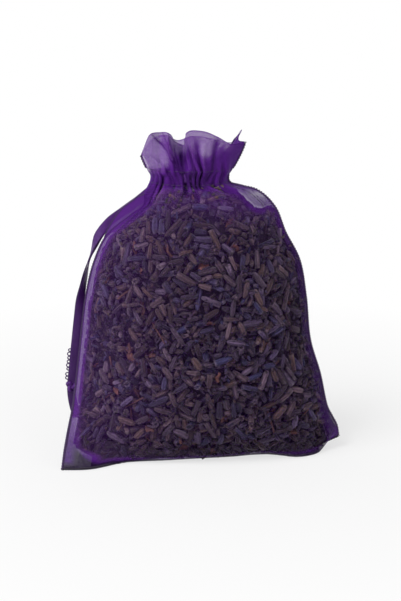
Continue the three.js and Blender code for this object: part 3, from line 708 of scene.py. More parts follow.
class FillSpace:
    """The room for the buds: how deep each small cube lies inside the bag.

    The depth is the distance to the nearer panel, which is the way to it along Y times the share
    of its normal that lies along Y, and to the floor, less the places that stay empty. Passes over
    the neighbouring cubes then keep it from growing faster than one cube's side from cube to cube.
    Each empty place has a depth, a middle in X and Z and a reach in X and Z, in millimetres.
    """

    CORNER = np.array([-46, -21, 0]) * MM
    SPAN = np.array([93, 45, 90]) * MM
    EMPTY = ((5.4, 17.2, 84, 5.5, 3.4), (2.5, -43, 0, 3, 4), (2.0, 44, 7, 2.5, 5))
    SEAM_EASE = 1.2 * MM
    SEAM_REACH = 1.8 * MM

    def __init__(
        self, cloth: GatheredCloth, cell: float = 0.8 * MM, margin: float = 0.15 * MM,
    ) -> None:
        """Work out the depth of every cube and the direction in which it grows.

        Args:
            cloth: the bag.
            cell: side of a cube.
            margin: room kept between buds and cloth.
        """
        self.cloth = cloth
        self.cell = cell
        self.low = self.CORNER
        counts = np.ceil(self.SPAN / cell).astype(int)
        x, y, z = (self.low[k] + (np.arange(counts[k]) + 0.5) * cell for k in range(3))
        walls = [self._wall(side, counts) for side in Side]
        inside = np.isfinite(walls[0][0]) & np.isfinite(walls[1][0])
        depth = np.full(counts, np.inf)
        for side, (level, facing) in zip(Side, walls):
            room = side.value * (level[:, None, :] - y[None, :, None]) - margin
            depth = np.minimum(depth, room * facing[:, None, :])
        depth = np.where(inside[:, None, :], depth, -0.5 * cell)
        depth = np.minimum(depth, z[None, None, :] - margin)
        depth = depth - self._empty(x[:, None, None], z[None, None, :])
        seam = cloth.shape.left_seam.at(np.linspace(0, 1, 400))
        from_left = x[:, None] - np.interp(z, seam[:, 2], seam[:, 0])[None]
        depth = depth - self.SEAM_EASE * np.exp(-((from_left / self.SEAM_REACH) ** 2))[:, None, :]
        for _ in range(8):
            for axis in range(3):
                for way in (-1, 1):
                    depth = np.minimum(depth, np.roll(depth, way, axis) + cell)
        self.depths = depth
        self.slopes = unit(np.stack(np.gradient(depth, cell), axis=-1))
        self.volume = float((depth > 0).sum()) * cell**3
        self.thickest = depth.max(axis=1)

    def _wall(self, side: Side, counts: Array) -> tuple[Array, Array]:
        """Outermost Y of a panel in each column of cubes, and how squarely it faces along Y.

        Args:
            side: which panel.
            counts: numbers of cubes along X, Y and Z.

        Returns:
            Two grids over X and Z, without a number where the panel is not met.
        """
        across, row = np.meshgrid(np.linspace(-1, 1, 420), np.linspace(0, 11.9, 450))
        points = self.cloth.point(side, across, row).reshape(-1, 3)
        facing = np.abs(self.cloth.shape.normal(side, across, row)[..., 1]).ravel()
        order = np.argsort(side.value * points[:, 1], kind="stable")
        i, _, k = ((points[order] - self.low) / self.cell).astype(int).T
        place = (i, np.clip(k, 0, counts[2] - 1))
        level = np.full((counts[0], counts[2]), np.nan)
        square = level.copy()
        level[place] = points[order, 1]
        square[place] = facing[order]
        return self._mended(level), self._mended(square)

    @staticmethod
    def _mended(columns: Array) -> Array:
        """Give lone columns that no sample fell into the mean of five or more neighbours.

        Args:
            columns: a grid with gaps.

        Returns:
            The grid with its lone gaps closed.
        """
        steps = [step for step in np.ndindex(3, 3) if step != (1, 1)]
        for _ in range(2):
            near = np.stack([np.roll(columns, (a - 1, b - 1), (0, 1)) for a, b in steps])
            known = np.isfinite(near)
            held = known.sum(0)
            mean = np.where(known, near, 0).sum(0) / np.maximum(held, 1)
            columns = np.where(np.isnan(columns) & (held >= 5), mean, columns)
        return columns

    def _empty(self, x: Array, z: Array) -> Array:
        """Extra room left empty at the right shoulder and in both lower corners, as round bumps."""
        return sum(
            size * MM * np.exp(-(((x / MM - cx) / wx) ** 2) - ((z / MM - cz) / wz) ** 2)
            for size, cx, cz, wx, wz in self.EMPTY
        )

    @staticmethod
    def _sampled(field: Array, places: Array) -> Array:
        """A field's values at places counted in its cells, blended from the cells round each.

        Args:
            field: a grid of values.
            places: places with a last axis for the grid's own.

        Returns:
            A value for each place.
        """
        places = np.clip(places - 0.5, 0, np.array(field.shape) - 1.001)
        base = places.astype(int)
        share = places - base
        total = np.zeros(places.shape[:-1])
        for corner in np.ndindex((2,) * field.ndim):
            weight = np.where(corner, share, 1 - share).prod(-1)
            total += weight * field[tuple(np.moveaxis(base + corner, -1, 0))]
        return total

    def depth(self, points: Array) -> Array:
        """Depth at points."""
        return self._sampled(self.depths, (points - self.low) / self.cell)

    def screened(self, points: Array, least: float = 0.4 * MM, most: float = 1.9 * MM) -> Array:
        """How far the filling hides what is behind points, 0 to 1 between two thicknesses."""
        thick = self._sampled(self.thickest, (points - self.low)[..., [0, 2]] / self.cell)
        return smoothstep(least, most, thick)

    def confined(self, points: Array, radii: Array) -> Array:
        """Move balls that reach out of the room back in, up the slope of the depth."""
        short = np.maximum(radii - self.depth(points), 0)
        return points + short[:, None] * self.inward(points)

    def inward(self, points: Array) -> Array:
        """Direction in which the depth grows at points."""
        place = ((points - self.low) / self.cell).astype(int)
        return self.slopes[tuple(np.clip(place, 0, np.array(self.depths.shape) - 1).T)]

    def drawn_in(
        self, centres: Array, axes: Array, lengths: Array, radii: Array,
    ) -> tuple[Array, Array, Array, Array]:
        """Move the ends of rods that reach out of the room back in, and drop those that still do.

        Args:
            centres: middles of the rods.
            axes: their unit directions.
            lengths: their lengths, round ends and all.
            radii: half their diameters.

        Returns:
            The middles, directions, lengths and radii of the rods that are left.
        """
        half = (lengths / 2 - radii)[:, None] * axes
        ends = [centres - half, centres + half]
        for _ in range(4):
            ends = [self.confined(end, radii) for end in ends]
        held = np.minimum(*(self.depth(end) for end in ends)) > 0.6 * radii
        ends = [end[held] for end in ends]
        span = ends[1] - ends[0]
        radii = radii[held]
        return (ends[0] + ends[1]) / 2, unit(span), np.linalg.norm(span, axis=1) + 2 * radii, radii

    def scatter(
        self, count: int, rng: Random, least: float, most: float = 1.0, thickest: float = 1.0,
    ) -> Array:
        """Random points in cubes with a depth between two values, where the heap is thin enough.

        Args:
            count: how many points.
            rng: the source of random numbers.
            least: depth that a cube must pass.
            most: depth that it must stay under.
            thickest: greatest depth along Y that its column may have.

        Returns:
            The points.
        """
        thin = (self.thickest < thickest)[:, None, :]
        cubes = np.argwhere((self.depths > least) & (self.depths < most) & thin)
        chosen = cubes[rng.integers(0, len(cubes), count)]
        return self.low + (chosen + rng.random((count, 3))) * self.cell


def close_pairs(points: Array, reach: float) -> tuple[Array, Array]:
    """Numbers of the points that lie within about reach of each other.

    Points are sorted into cubes of that side, and each cube is set against itself and against
    half of its neighbours.

    Args:
        points: the points.
        reach: the side of a cube.

    Returns:
        The two numbers of each pair.
    """
    cubes = np.floor((points - points.min(0)) / reach).astype(np.int64) + 1
    size = cubes.max(0) + 2
    keys = (cubes[:, 0] * size[1] + cubes[:, 1]) * size[2] + cubes[:, 2]
    order = np.argsort(keys, kind="stable")
    filled, first, held = np.unique(keys[order], return_index=True, return_counts=True)
    near, far = [], []
    steps = [s for s in np.ndindex(3, 3, 3) if s >= (1, 1, 1)]
    for step in steps:
        dx, dy, dz = np.array(step) - 1
        wanted = keys + (dx * size[1] + dy) * size[2] + dz
        slot = np.minimum(np.searchsorted(filled, wanted), len(filled) - 1)
        match = filled[slot] == wanted
        for k in range(int(held.max())):
            mine = np.flatnonzero(match & (k < held[slot]))
            other = order[first[slot[mine]] + k]
            keep = mine < other if step == (1, 1, 1) else np.ones(len(mine), bool)
            near.append(mine[keep])
            far.append(other[keep])
    return np.concatenate(near), np.concatenate(far)


@dataclass
class BudPacking:
    """Buds poured into the bag: short rods of three balls that grow and push each other apart."""

    share: float = 0.6
    length: float = 5.4 * MM
    length_spread: float = 1.0 * MM
    radius: float = 1.0 * MM
    radius_spread: float = 0.13 * MM
    length_limits: tuple[float, float] = (3.6 * MM, 7.6 * MM)
    radius_limits: tuple[float, float] = (0.7 * MM, 1.2 * MM)
    steps: int = 170
    refresh: int = 5

    def settle(self, space: FillSpace, rng: Random) -> None:
        """Scatter the rods and let them push until they lie beside each other.

        In each step a pair of balls that overlap part by half the overlap each, balls are moved
        back into the bag, and each rod is drawn straight again through its three balls.

        Args:
            space: the room for the buds.
            rng: the source of random numbers.
        """
        rod = math.pi * self.radius**2 * (self.length - 2 * self.radius / 3)
        count = int(self.share * space.volume / rod)
        lengths = rng.normal(self.length, self.length_spread, count)
        self.lengths = np.clip(lengths, *self.length_limits)
        radii = rng.normal(self.radius, self.radius_spread, count)
        self.radii = np.clip(radii, *self.radius_limits)
        self.centres = space.scatter(count, rng, space.cell)
        self.axes = unit(rng.normal(size=(count, 3)))
        offsets = np.array([-1.0, 0.0, 1.0])
        steps = self.steps
        for step in range(steps):
            grown = min(1.0, 0.5 + 0.5 * step / (0.6 * steps))
            radii = np.repeat(self.radii * grown, 3)
            half = (self.lengths / 2 - self.radii) * grown
            arms = (half[:, None] * self.axes)[:, None]
            balls = self.centres[:, None] + offsets[None, :, None] * arms
            balls = balls.reshape(-1, 3)
            if step % self.refresh == 0:
                near, far = close_pairs(balls, 2.6 * self.radius)
                other_rod = near // 3 != far // 3
                near, far = near[other_rod], far[other_rod]
            balls = self._parted(balls, radii, near, far)
            balls = space.confined(balls, radii).reshape(-1, 3, 3)
            self.centres = balls.mean(1)
            self.axes = unit(balls[:, 2] - balls[:, 0])
        self.depths = space.depth(self.centres)
        self.inward = space.inward(self.centres)

    @staticmethod
    def _parted(balls: Array, radii: Array, near: Array, far: Array) -> Array:
        """Move each ball by the mean of the pushes of the balls that it overlaps.

        Args:
            balls: middles of the balls.
            radii: their radii.
            near: first ball of each close pair.
            far: second ball of each pair.

        Returns:
            The middles after the move.
        """
        gap = balls[near] - balls[far]
        apart = np.linalg.norm(gap, axis=1)
        push = np.maximum(radii[near] + radii[far] - apart, 0) / np.maximum(apart, 1e-9) / 2
        touching = push > 0
        near, far, gap = near[touching], far[touching], gap[touching]
        push = push[touching, None] * gap
        count = len(balls)
        both = np.concatenate([near, far])
        pushes = np.concatenate([push, -push])
        moved = np.stack([np.bincount(both, pushes[:, k], count) for k in range(3)], axis=1)
        tally = np.maximum(np.bincount(both, minlength=count), 1)[:, None]
        return balls + moved / np.sqrt(tally)


class Value:
    """A shader socket that takes part in sums as a number does; each sum adds a Math node."""

    def __init__(self, board: "Board", socket: bpy.types.NodeSocket) -> None:
        """Hold a socket of a board."""
        self.board = board
        self.socket = socket

    def maths(self, operation: str, first: Any, second: Any = 0.0, clamp: bool = False) -> "Value":
        """Add a Math node with that operation on two values."""
        settings = {"operation": operation, "use_clamp": clamp}
        return self.board.value("ShaderNodeMath", settings, {0: first, 1: second})

    def __add__(self, other: Any) -> "Value":
        """Sum."""
        return self.maths("ADD", self, other)

    __radd__ = __add__

    def __sub__(self, other: Any) -> "Value":
        """Difference."""
        return self.maths("SUBTRACT", self, other)

    def __rsub__(self, other: Any) -> "Value":
        """Difference with a number first."""
        return self.maths("SUBTRACT", other, self)

    def __mul__(self, other: Any) -> "Value":
        """Product."""
        return self.maths("MULTIPLY", self, other)

    __rmul__ = __mul__

    def __pow__(self, other: Any) -> "Value":
        """Power."""
        return self.maths("POWER", self, other)

    def __rpow__(self, other: Any) -> "Value":
        """Power of a number."""
        return self.maths("POWER", other, self)

    def cosine(self) -> "Value":
        """Cosine of a value in radians."""
        return self.maths("COSINE", self)

    def size(self) -> "Value":
        """Value without its sign."""
        return self.maths("ABSOLUTE", self)

    def highest(self, other: Any) -> "Value":
        """The larger of two values."""
        return self.maths("MAXIMUM", self, other)

    def clamped(self) -> "Value":
        """Value held between 0 and 1."""
        return self.maths("ADD", self, 0.0, clamp=True)


class Board:
    """The nodes of one material or of the world."""

    def __init__(self, owner: Material | bpy.types.World) -> None:
        """Take over the nodes of a material or a world and empty them."""
        owner.use_nodes = True
        self.owner = owner
        self.tree = owner.node_tree
        self.tree.nodes.clear()

    @classmethod
    def of_material(cls, name: str) -> "Board":
        """The board of a new material."""
        return cls(bpy.data.materials.new(name))

    def node(
        self, kind: str, settings: dict | None = None, inputs: dict | None = None,
    ) -> bpy.types.Node:
        """Add a node.

        Args:
            kind: the node's type.
            settings: its own settings, a ramp's stops among them as (place, colour) pairs.
            inputs: values or links of its sockets, by name or number.

        Returns:
            The node.
        """
        made = self.tree.nodes.new(kind)
        for key, setting in (settings or {}).items():
            if key == "stops":
                self._set_stops(made.color_ramp, setting)
            else:
                setattr(made, key, setting)
        for key, given in (inputs or {}).items():
            socket = made.inputs[key]
            if isinstance(given, Value):
                self.tree.links.new(given.socket, socket)
            elif socket.type == "RGBA":
                socket.default_value = (*given, 1.0)
            else:
                socket.default_value = given
        return made

    def value(
        self, kind: str, settings: dict | None = None, inputs: dict | None = None, out: Any = 0,
    ) -> Value:
        """Add a node and take one of its outputs."""
        return Value(self, self.node(kind, settings, inputs).outputs[out])

    @staticmethod
    def _set_stops(ramp: bpy.types.ColorRamp, stops: list[tuple[float, Colour]]) -> None:
        """Give a colour ramp its stops."""
        while len(ramp.elements) < len(stops):
            ramp.elements.new(0.5)
        for element, (place, colour) in zip(ramp.elements, stops):
            element.position = place
            element.color = (*colour, 1.0)

    def mark(self, name: str) -> Value:
        """A number carried by the mesh's points."""
        return self.value("ShaderNodeAttribute", {"attribute_name": name}, out="Fac")

    def uv(self) -> tuple[Value, Value]:
        """The two numbers of the piece's UV map."""
        place = self.value("ShaderNodeUVMap", {"uv_map": "cloth"})
        apart = self.node("ShaderNodeSeparateXYZ", None, {0: place})
        return Value(self, apart.outputs[0]), Value(self, apart.outputs[1])

    def noise(self, scale: float, detail: float = 2.0, where: Value | None = None) -> Value:
        """Soft noise from 0 to 1, on Object coordinates unless told where."""
        place = where or self.value("ShaderNodeTexCoord", out="Object")
        inputs = {"Vector": place, "Scale": scale, "Detail": detail}
        return self.value("ShaderNodeTexNoise", None, inputs)

    def mix(self, share: Any, first: Any, second: Any) -> Value:
        """A colour between two, by a share."""
        inputs = {0: share, 6: first, 7: second}
        return self.value("ShaderNodeMix", {"data_type": "RGBA"}, inputs, out=2)

    def bump(self, height: Value, distance: float, strength: float = 1.0) -> Value:
        """A normal that follows a height."""
        inputs = {"Height": height, "Distance": distance, "Strength": strength}
        return self.value("ShaderNodeBump", None, inputs, out="Normal")

    def surface(self, shader: bpy.types.Node) -> Material:
        """Show a shader node as the surface, which finishes the material."""
        out = self.node("ShaderNodeOutputMaterial")
        self.tree.links.new(shader.outputs[0], out.inputs["Surface"])
        return self.owner

    def principled(self, inputs: dict) -> Material:
        """Finish the material with a Principled shader."""
        return self.surface(self.node("ShaderNodeBsdfPrincipled", None, inputs))


@dataclass(frozen=True)
class OrganzaFinish:
    """Sheer cloth: threads that cover part of the surface, deeper where the cloth is gathered."""

    pale: Colour = (0.34, 0.11, 0.6)
    deep: Colour = (0.08, 0.0095, 0.2)
    # Tones under deep_tone lean to gloom, mostly painted shade: floor, left nook, right edge,
    # folds.
    gloom: Colour = (0.014, 0.002, 0.034)
    deep_tone: float = 0.2
    sheen: Colour = (0.75, 0.6, 0.95)
    pitch: float = 0.42 * MM
    roughness: float = 0.5

    def material(self) -> Material:
        """Alpha is the cover times a plain weave: a half, plus half the nearer thread's height."""
        board = Board.of_material("purple_organza")
        u, v = board.uv()
        around = 2 * math.pi / self.pitch
        warp = (u * around).cosine()
        weft = (v * around).cosine()
        threads = warp.highest(weft) * 0.5 + 0.5
        streak = board.value("ShaderNodeCombineXYZ", None, {0: u * 60, 1: v * 1900})
        slub = board.noise(1.0, 2.0, streak)
        alpha = board.mark("cover") * (threads * 0.5 + slub * 0.3 + 0.5)
        stops = [(0.0, self.gloom), (self.deep_tone, self.deep), (1.0, self.pale)]
        ramp = board.value("ShaderNodeValToRGB", {"stops": stops}, {0: board.mark("tone")})
        return board.principled({
            "Base Color": ramp,
            "Roughness": self.roughness,
            "Sheen Weight": 0.03,
            "Sheen Roughness": 0.4,
            "Sheen Tint": self.sheen,
            "Specular IOR Level": 0.1,
            "Alpha": alpha.clamped(),
            "Normal": board.bump(threads, 0.05 * MM, 0.5),
        })


@dataclass(frozen=True)
class ThreadFinish:
    """Spun polyester thread, with its twist as a slanting stripe."""

    name: str = "purple_thread"
    light: Colour = (0.085, 0.035, 0.15)
    dark: Colour = (0.03, 0.011, 0.06)
    twist: float = 0.5 * MM

    def material(self) -> Material:
        """The stripe is the cosine of the length in twists plus two turns round the thread."""
        board = Board.of_material(self.name)
        along, turn = board.uv()
        ply = (along * (2 * math.pi / self.twist) + turn * (4 * math.pi)).cosine() * 0.5 + 0.5
        return board.principled({
            "Base Color": board.mix(ply, self.dark, self.light),
            "Roughness": 0.6,
            "Normal": board.bump(ply, 0.05 * MM),
        })


@dataclass(frozen=True)
class RibbonFinish:
    """Narrow woven ribbon: fine ribs across it, tighter and darker at its two edges."""

    lit_colour: Colour = (0.15, 0.028, 0.33)
    light: Colour = (0.068, 0.01, 0.15)
    dark: Colour = (0.022, 0.004, 0.05)
    lit_reach: float = 30 * MM
    sheen: Colour = (0.7, 0.4, 0.95)
    rib: float = 0.36 * MM
    cover: float = 0.86

    def material(self) -> Material:
        """UV holds the length along and the share across; painted light brightens the start."""
        board = Board.of_material("purple_ribbon")
        along, across = board.uv()
        ribs = (along * (2 * math.pi / self.rib)).cosine() * 0.5 + 0.5
        edge = ((across - 0.5).size() * 2.0) ** 6
        fibres = board.noise(900.0, 3.0)
        tone = (ribs * 0.35 + fibres * 0.5 + 0.2 - edge * 0.5).clamped()
        # Painted light: the first stretch, where the ribbon comes out over the shoulder, is
        # brighter.
        near = (1 - along * (1 / self.lit_reach)).clamped()
        return board.principled({
            "Base Color": board.mix(tone, self.dark, board.mix(near, self.light, self.lit_colour)),
            "Roughness": (0.5 - tone * 0.12).clamped(),
            "Specular IOR Level": 0.25,
            "Sheen Weight": 0.06,
            "Sheen Tint": self.sheen,
            "Alpha": (edge * 0.3 + ribs * 0.1 + self.cover).clamped(),
            "Normal": board.bump(ribs, 0.06 * MM),
        })


@dataclass(frozen=True)
class BudFinish:
    """Dried calyces: mauve grey, brown or blue violet, ribbed, downy and pale at the rim."""

    brown: Colour = (0.13, 0.071, 0.062)
    mauve: Colour = (0.17, 0.108, 0.148)
    violet: Colour = (0.115, 0.078, 0.168)
    blue: Colour = (0.042, 0.042, 0.125)
    gloom: Colour = (0.009, 0.005, 0.009)
    rim: Colour = (0.28, 0.2, 0.25)
    ribs: int = 5

    def material(self) -> Material:
        """The bud's tint picks a colour; its shade, the ribs and a mottle darken it."""
        board = Board.of_material("dried_calyx")
        turn, _ = board.uv()
        along = board.mark("along")
        stops = [
            (0.0, self.brown), (0.36, self.mauve), (0.66, self.violet), (0.93, self.blue),
        ]
        tint = board.value("ShaderNodeValToRGB", {"stops": stops}, {0: board.mark("tint")})
        colour = board.mix(((along - 0.86) * 7).clamped() * 0.6, tint, self.rim)
        mottle = board.noise(1100.0, 3.0)
        ribs = (turn * (2 * math.pi * self.ribs)).cosine() * 0.5 + 0.5
        # The shade mark holds painted light and shade, and the ribs paint shade into their grooves.
        lit = board.mark("shade") * (ribs * 0.5 + 0.5) * (mottle * 1.7)
        return board.principled({
            "Base Color": board.mix(lit.clamped(), self.gloom, colour),
            "Roughness": 0.85,
            "Sheen Weight": 0.12,
            "Sheen Roughness": 0.45,
            "Sheen Tint": (0.9, 0.8, 1.0),
            "Specular IOR Level": 0.25,
            "Normal": board.bump(ribs + mottle * 0.8, 0.16 * MM),
        })


@dataclass(frozen=True)
class PetalFinish:
    """Dried corolla bits and stems, reddish brown."""

    rust: Colour = (0.17, 0.058, 0.042)
    bark: Colour = (0.035, 0.016, 0.016)

    def material(self) -> Material:
        """Noise mixes the two browns, and the bit's own tint darkens some of them."""
        board = Board.of_material("dried_petal")
        mottle = board.noise(1500.0, 3.0)
        tone = (mottle * 1.2 - 0.35 + board.mark("tint") * 0.5).clamped()
        return board.principled({
            "Base Color": board.mix(tone, self.bark, self.rust),
            "Roughness": 0.8,
            "Normal": board.bump(mottle, 0.2 * MM),
        })


@dataclass(frozen=True)
class PaperFinish:
    """The pale floor, which the camera sees as white apart from the shadow on it."""

    colour: Colour = (0.92, 0.92, 0.92)
    near_glow: float = 0.68
    near: float = 45 * MM
    far: float = 190 * MM

    def material(self) -> Material:
        """Plain white is mixed in for the camera and for mirrors, the more the further out."""
        board = Board.of_material("white_paper")
        place = board.value("ShaderNodeTexCoord", out="Object")
        length = {"operation": "LENGTH"}
        reach = board.value("ShaderNodeVectorMath", length, {0: place}, out="Value")
        out = ((reach - self.near) * (1 / (self.far - self.near))).clamped()
        glow = out * (1 - self.near_glow) + self.near_glow
        paper = board.node("ShaderNodeBsdfDiffuse", None, {"Color": self.colour})
        white = board.node("ShaderNodeEmission", None, {"Color": (1.0, 1.0, 1.0)})
        mixed = board.node("ShaderNodeMixShader", None, {0: seen_directly(board) * glow})
        board.tree.links.new(paper.outputs[0], mixed.inputs[1])
        board.tree.links.new(white.outputs[0], mixed.inputs[2])
        return board.surface(mixed)


def seen_directly(board: Board) -> Value:
    """1 for rays from the camera, in mirrors and through glass, and 0 for light on the object."""
    path = board.node("ShaderNodeLightPath")
    kinds = ("Camera", "Glossy", "Transmission")
    camera, mirror, glass = (Value(board, path.outputs[f"Is {kind} Ray"]) for kind in kinds)
    return camera.highest(mirror).highest(glass)


@dataclass
class Studio:
    """White surroundings, soft lamps and the camera at the photograph's angle."""

    target: Place = (0.5 * MM, 0.0, 49.2 * MM)
    distance: float = 520 * MM
    elevation: float = 15.0
    focal_pixels: float = 1664.0
    picture_height: float = 601.0
    ambient: float = 0.34
    key_place: Place = (-0.45, -0.42, 0.8)
    key_size: float = 0.5
    key_power: float = 7.0
    fill_place: Place = (0.6, -0.55, 0.3)
    fill_size: float = 0.6
    fill_power: float = 0.9
    floor_reach: float = 2.0
    floor_points: int = 41

    def camera(self) -> None:
        """A camera that looks along +Y and down at the elevation, its lens fitted to the height."""
        lens = bpy.data.cameras.new("camera")
        lens.sensor_fit = "VERTICAL"
        lens.sensor_height = 36.0
        lens.lens = self.focal_pixels / self.picture_height * lens.sensor_height
        lens.clip_start = 0.01
        made = bpy.data.objects.new("camera", lens)
        tilt = math.radians(self.elevation)
        away = np.array([0, -math.cos(tilt), math.sin(tilt)]) * self.distance
        made.location = np.array(self.target) + away
        made.rotation_euler = (math.pi / 2 - tilt, 0, 0)
        bpy.context.scene.collection.objects.link(made)
        bpy.context.scene.camera = made

    def floor(self) -> None:
        """A wide sheet of paper, domed so slightly that its far edges lie a millimetre lower."""
        reach = np.linspace(-self.floor_reach, self.floor_reach, self.floor_points)
        x, y = np.meshgrid(reach, reach)
        z = -0.05 * MM - 0.25 * MM * (x**2 + y**2)
        patch = Patch(np.stack([x, y, z], axis=-1).reshape(-1, 3), grid_quads(*x.shape))
        made = piece("paper_floor", patch, PaperFinish().material())

    def lamp(self, name: str, place: Place, size: float, power: float) -> None:
        """A square lamp that faces the target.

        Args:
            name: the lamp's name.
            place: where it stands.
            size: side of its square.
            power: its light in watts.
        """
        light = bpy.data.lights.new(name, "AREA")
        light.size = size
        light.energy = power
        made = bpy.data.objects.new(name, light)
        made.location = place
        toward = np.array(self.target) - np.array(place)
        flat = math.hypot(toward[0], toward[1])
        made.rotation_euler = (math.atan2(flat, -toward[2]), 0, math.atan2(-toward[0], toward[1]))
        bpy.context.scene.collection.objects.link(made)

    def world(self) -> None:
        """White for the camera, and an even pale light for everything else."""
        world = bpy.data.worlds.new("white_room")
        bpy.context.scene.world = world
        board = Board(world)
        strength = seen_directly(board) * (1 - self.ambient) + self.ambient
        inputs = {"Color": (1.0, 1.0, 1.0), "Strength": strength}
        sky = board.node("ShaderNodeBackground", None, inputs)
        out = board.node("ShaderNodeOutputWorld")
        board.tree.links.new(sky.outputs[0], out.inputs["Surface"])

    def build(self) -> None:
        """Set up camera, floor, lamps and world."""
        bpy.context.scene.view_settings.view_transform = "Standard"
        self.camera()
        self.floor()
        self.lamp("key_lamp", self.key_place, self.key_size, self.key_power)
        self.lamp("fill_lamp", self.fill_place, self.fill_size, self.fill_power)
        self.world()


def dress(
    made: Piece, body: Body | None = Body.BAG, nodes: tuple[str, ...] = (),
) -> Piece:
    """Attach a piece to its body, if it has one, and hide the solids that it stands for.

    Args:
        made: the piece.
        body: the body that it rides on, or none to leave it unattached.
        nodes: the solids that it stands for.

    Returns:
        The piece.
    """
    if body is not None:
        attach(made, body.value)
    if nodes:
        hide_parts(*nodes)
    LOG.info("%s: %d faces", made.name, len(made.data.polygons))
    return made


@dataclass
class RibbonDrawstring:
    """The ribbon: a loop in the channel, two strands hanging at the left, a knot and two tails."""

    shape: BagShape
    width: float = 2.8 * MM
    thickness: float = 0.34 * MM
    strand_space: float = 0.24 * MM
    leave_angle: float = 33.0
    mouth_length: float = 6.5 * MM
    bend_start: float = 2.2 * MM
    bend_stop: float = 4.2 * MM
    mouth_stop: float = 5.5 * MM
    fold_reach: float = 4 * MM
    fold_share: float = 7 / 13
    turn_reach: float = 0.26
    wander: float = 0.12 * MM
    worn_length: float = 66 * MM
    knot_size: float = 3.2 * MM
    picot_size: float = 0.5 * MM
    picot_pitch: float = 1.28 * MM
    picot_radius: float = 0.19 * MM
    picot_start: float = 2.6 * MM
    picots: int = 8
    hem_reach: float = 0.62
    lane: float = 0.875 * MM

    SECTION = np.array(
        [(-1, -0.3), (-0.88, -1), (-0.3, -0.8), (0.3, -0.8), (0.88, -1), (1, -0.3),
         (1, 0.3), (0.88, 1), (0.3, 0.8), (-0.3, 0.8), (-0.88, 1), (-1, 0.3)]
    )
    TAILS = (
        (Side.FRONT, "long_tail", 9.8 * MM, 1.7 * MM),
        (Side.BACK, "short_tail", 5.2 * MM, 0.4 * MM),
    )

    hinge = np.array([-0.0159, 0.0, 0.0834])
    route = Rail(
        [
            (-0.015313, 0.0, 0.083781), (-0.0187, 0.000374, 0.080913),
            (-0.020899, 0.000979, 0.07922), (-0.024012, 0.001723, 0.076799),
            (-0.027869, 0.002479, 0.073694), (-0.031121, 0.003122, 0.0694),
            (-0.032822, 0.00347, 0.065496), (-0.03422, 0.0036, 0.061522),
            (-0.035857, 0.0036, 0.055765), (-0.037069, 0.0036, 0.049796),
            (-0.038183, 0.0036, 0.041909), (-0.03908, 0.0036, 0.034253),
            (-0.039917, 0.0036, 0.026951), (-0.040686, 0.0036, 0.020097),
        ]
    )

    def _band(self, path: Array, across: Array, through: Array, begun: float = 0.0) -> Patch:
        """A flat ribbon: a thin section with rounded edges carried along a path.

        Args:
            path: points of its middle line.
            across: unit direction across the ribbon at each point.
            through: unit direction through it.
            begun: length of the ribbon before the path.

        Returns:
            The closed ribbon, its UV holding the length and the share across.
        """
        wide, thick = self.SECTION.T
        side = (wide * self.width / 2)[None, :, None] * across[:, None]
        face = (thick * self.thickness / 2)[None, :, None] * through[:, None]
        points = path[:, None] + side + face
        count = len(wide)
        along = begun + np.repeat(lengths_along(path), count)
        uv = np.stack([along, np.tile((wide + 1) / 2, len(path))], axis=1)
        return Patch(
            np.vstack([points.reshape(-1, 3), path[:1], path[-1:]]),
            grid_quads(len(path), count, ring=True)[:, ::-1],
            end_caps(len(path), count)[:, [0, 2, 1]],
            np.vstack([uv, (begun, 0.5), (uv[-1, 0], 0.5)]),
        )

    def _strand(self, side: Side) -> tuple[Array, Array, Array, Array]:
        """The whole of one strand from inside the channel to the knot.

        The two strands lie on each other. Along the route they turn together about their run:
        flat on the shoulder, edge-on at the fold, flat again below it.

        Args:
            side: which strand.

        Returns:
            Its middle line, the directions across and through it, and its length past the hinge.
        """
        angle = math.radians(self.leave_angle)
        leaving = np.array([-math.cos(angle), 0, -math.sin(angle)])
        start = self.hinge - self.mouth_length * leaving
        straight = start + np.linspace(0, 0.88, 14)[:, None] * (self.route.points[0] - start)
        share = np.linspace(0, 1, 150)
        path = np.vstack([straight, self.route.at(share)])
        share = np.concatenate([np.zeros(len(straight)), share])
        turn = (
            smoothstep(self.fold_share - self.turn_reach, self.fold_share, share)
            + smoothstep(self.fold_share, self.fold_share + self.turn_reach, share)
        ) * math.pi / 2
        flat, across = frames_along(path, ALONG_Y)
        through = np.cos(turn)[:, None] * flat + np.sin(turn)[:, None] * across
        wide = np.cos(turn)[:, None] * across - np.sin(turn)[:, None] * flat
        past = lengths_along(path)
        past = past - past[np.argmin(np.linalg.norm(path - self.hinge, axis=1))]
        wander = self.wander * np.sin(past / MM * 0.55 + side.value)
        wander = wander * smoothstep(6 * MM, 14 * MM, past)
        path = path + (side.value * self.strand_space + wander)[:, None] * through
        return path, wide, through, past

    def _picots(self, path: Array, wide: Array) -> Patch:
        """Small thread loops along the ribbon's outer edge: half circles a pitch apart.

        Args:
            path: points of the strand.
            wide: unit direction across the ribbon there.

        Returns:
            The loops.
        """
        along = lengths_along(path)
        up = unit(np.gradient(path, axis=0))
        outward = wide * np.where(wide[:, :1] < 0, 1, -1)
        loops = []
        turn = np.linspace(-0.15 * math.pi, 1.15 * math.pi, 13)
        for number in range(self.picots):
            wanted = along[-1] - self.picot_start - number * self.picot_pitch
            at = np.argmin(np.abs(along - wanted))
            root = path[at] + outward[at] * (self.width / 2 + 0.1 * MM)
            size = self.picot_size * (1 + 0.18 * math.sin(2.4 * number))
            loop = root + size * (
                np.cos(turn)[:, None] * up[at] + 1.25 * np.sin(turn)[:, None] * outward[at]
            )
            loops.append(thread(loop, self.picot_radius, np.cross(up[at], outward[at]), 6))
        return joined(loops)

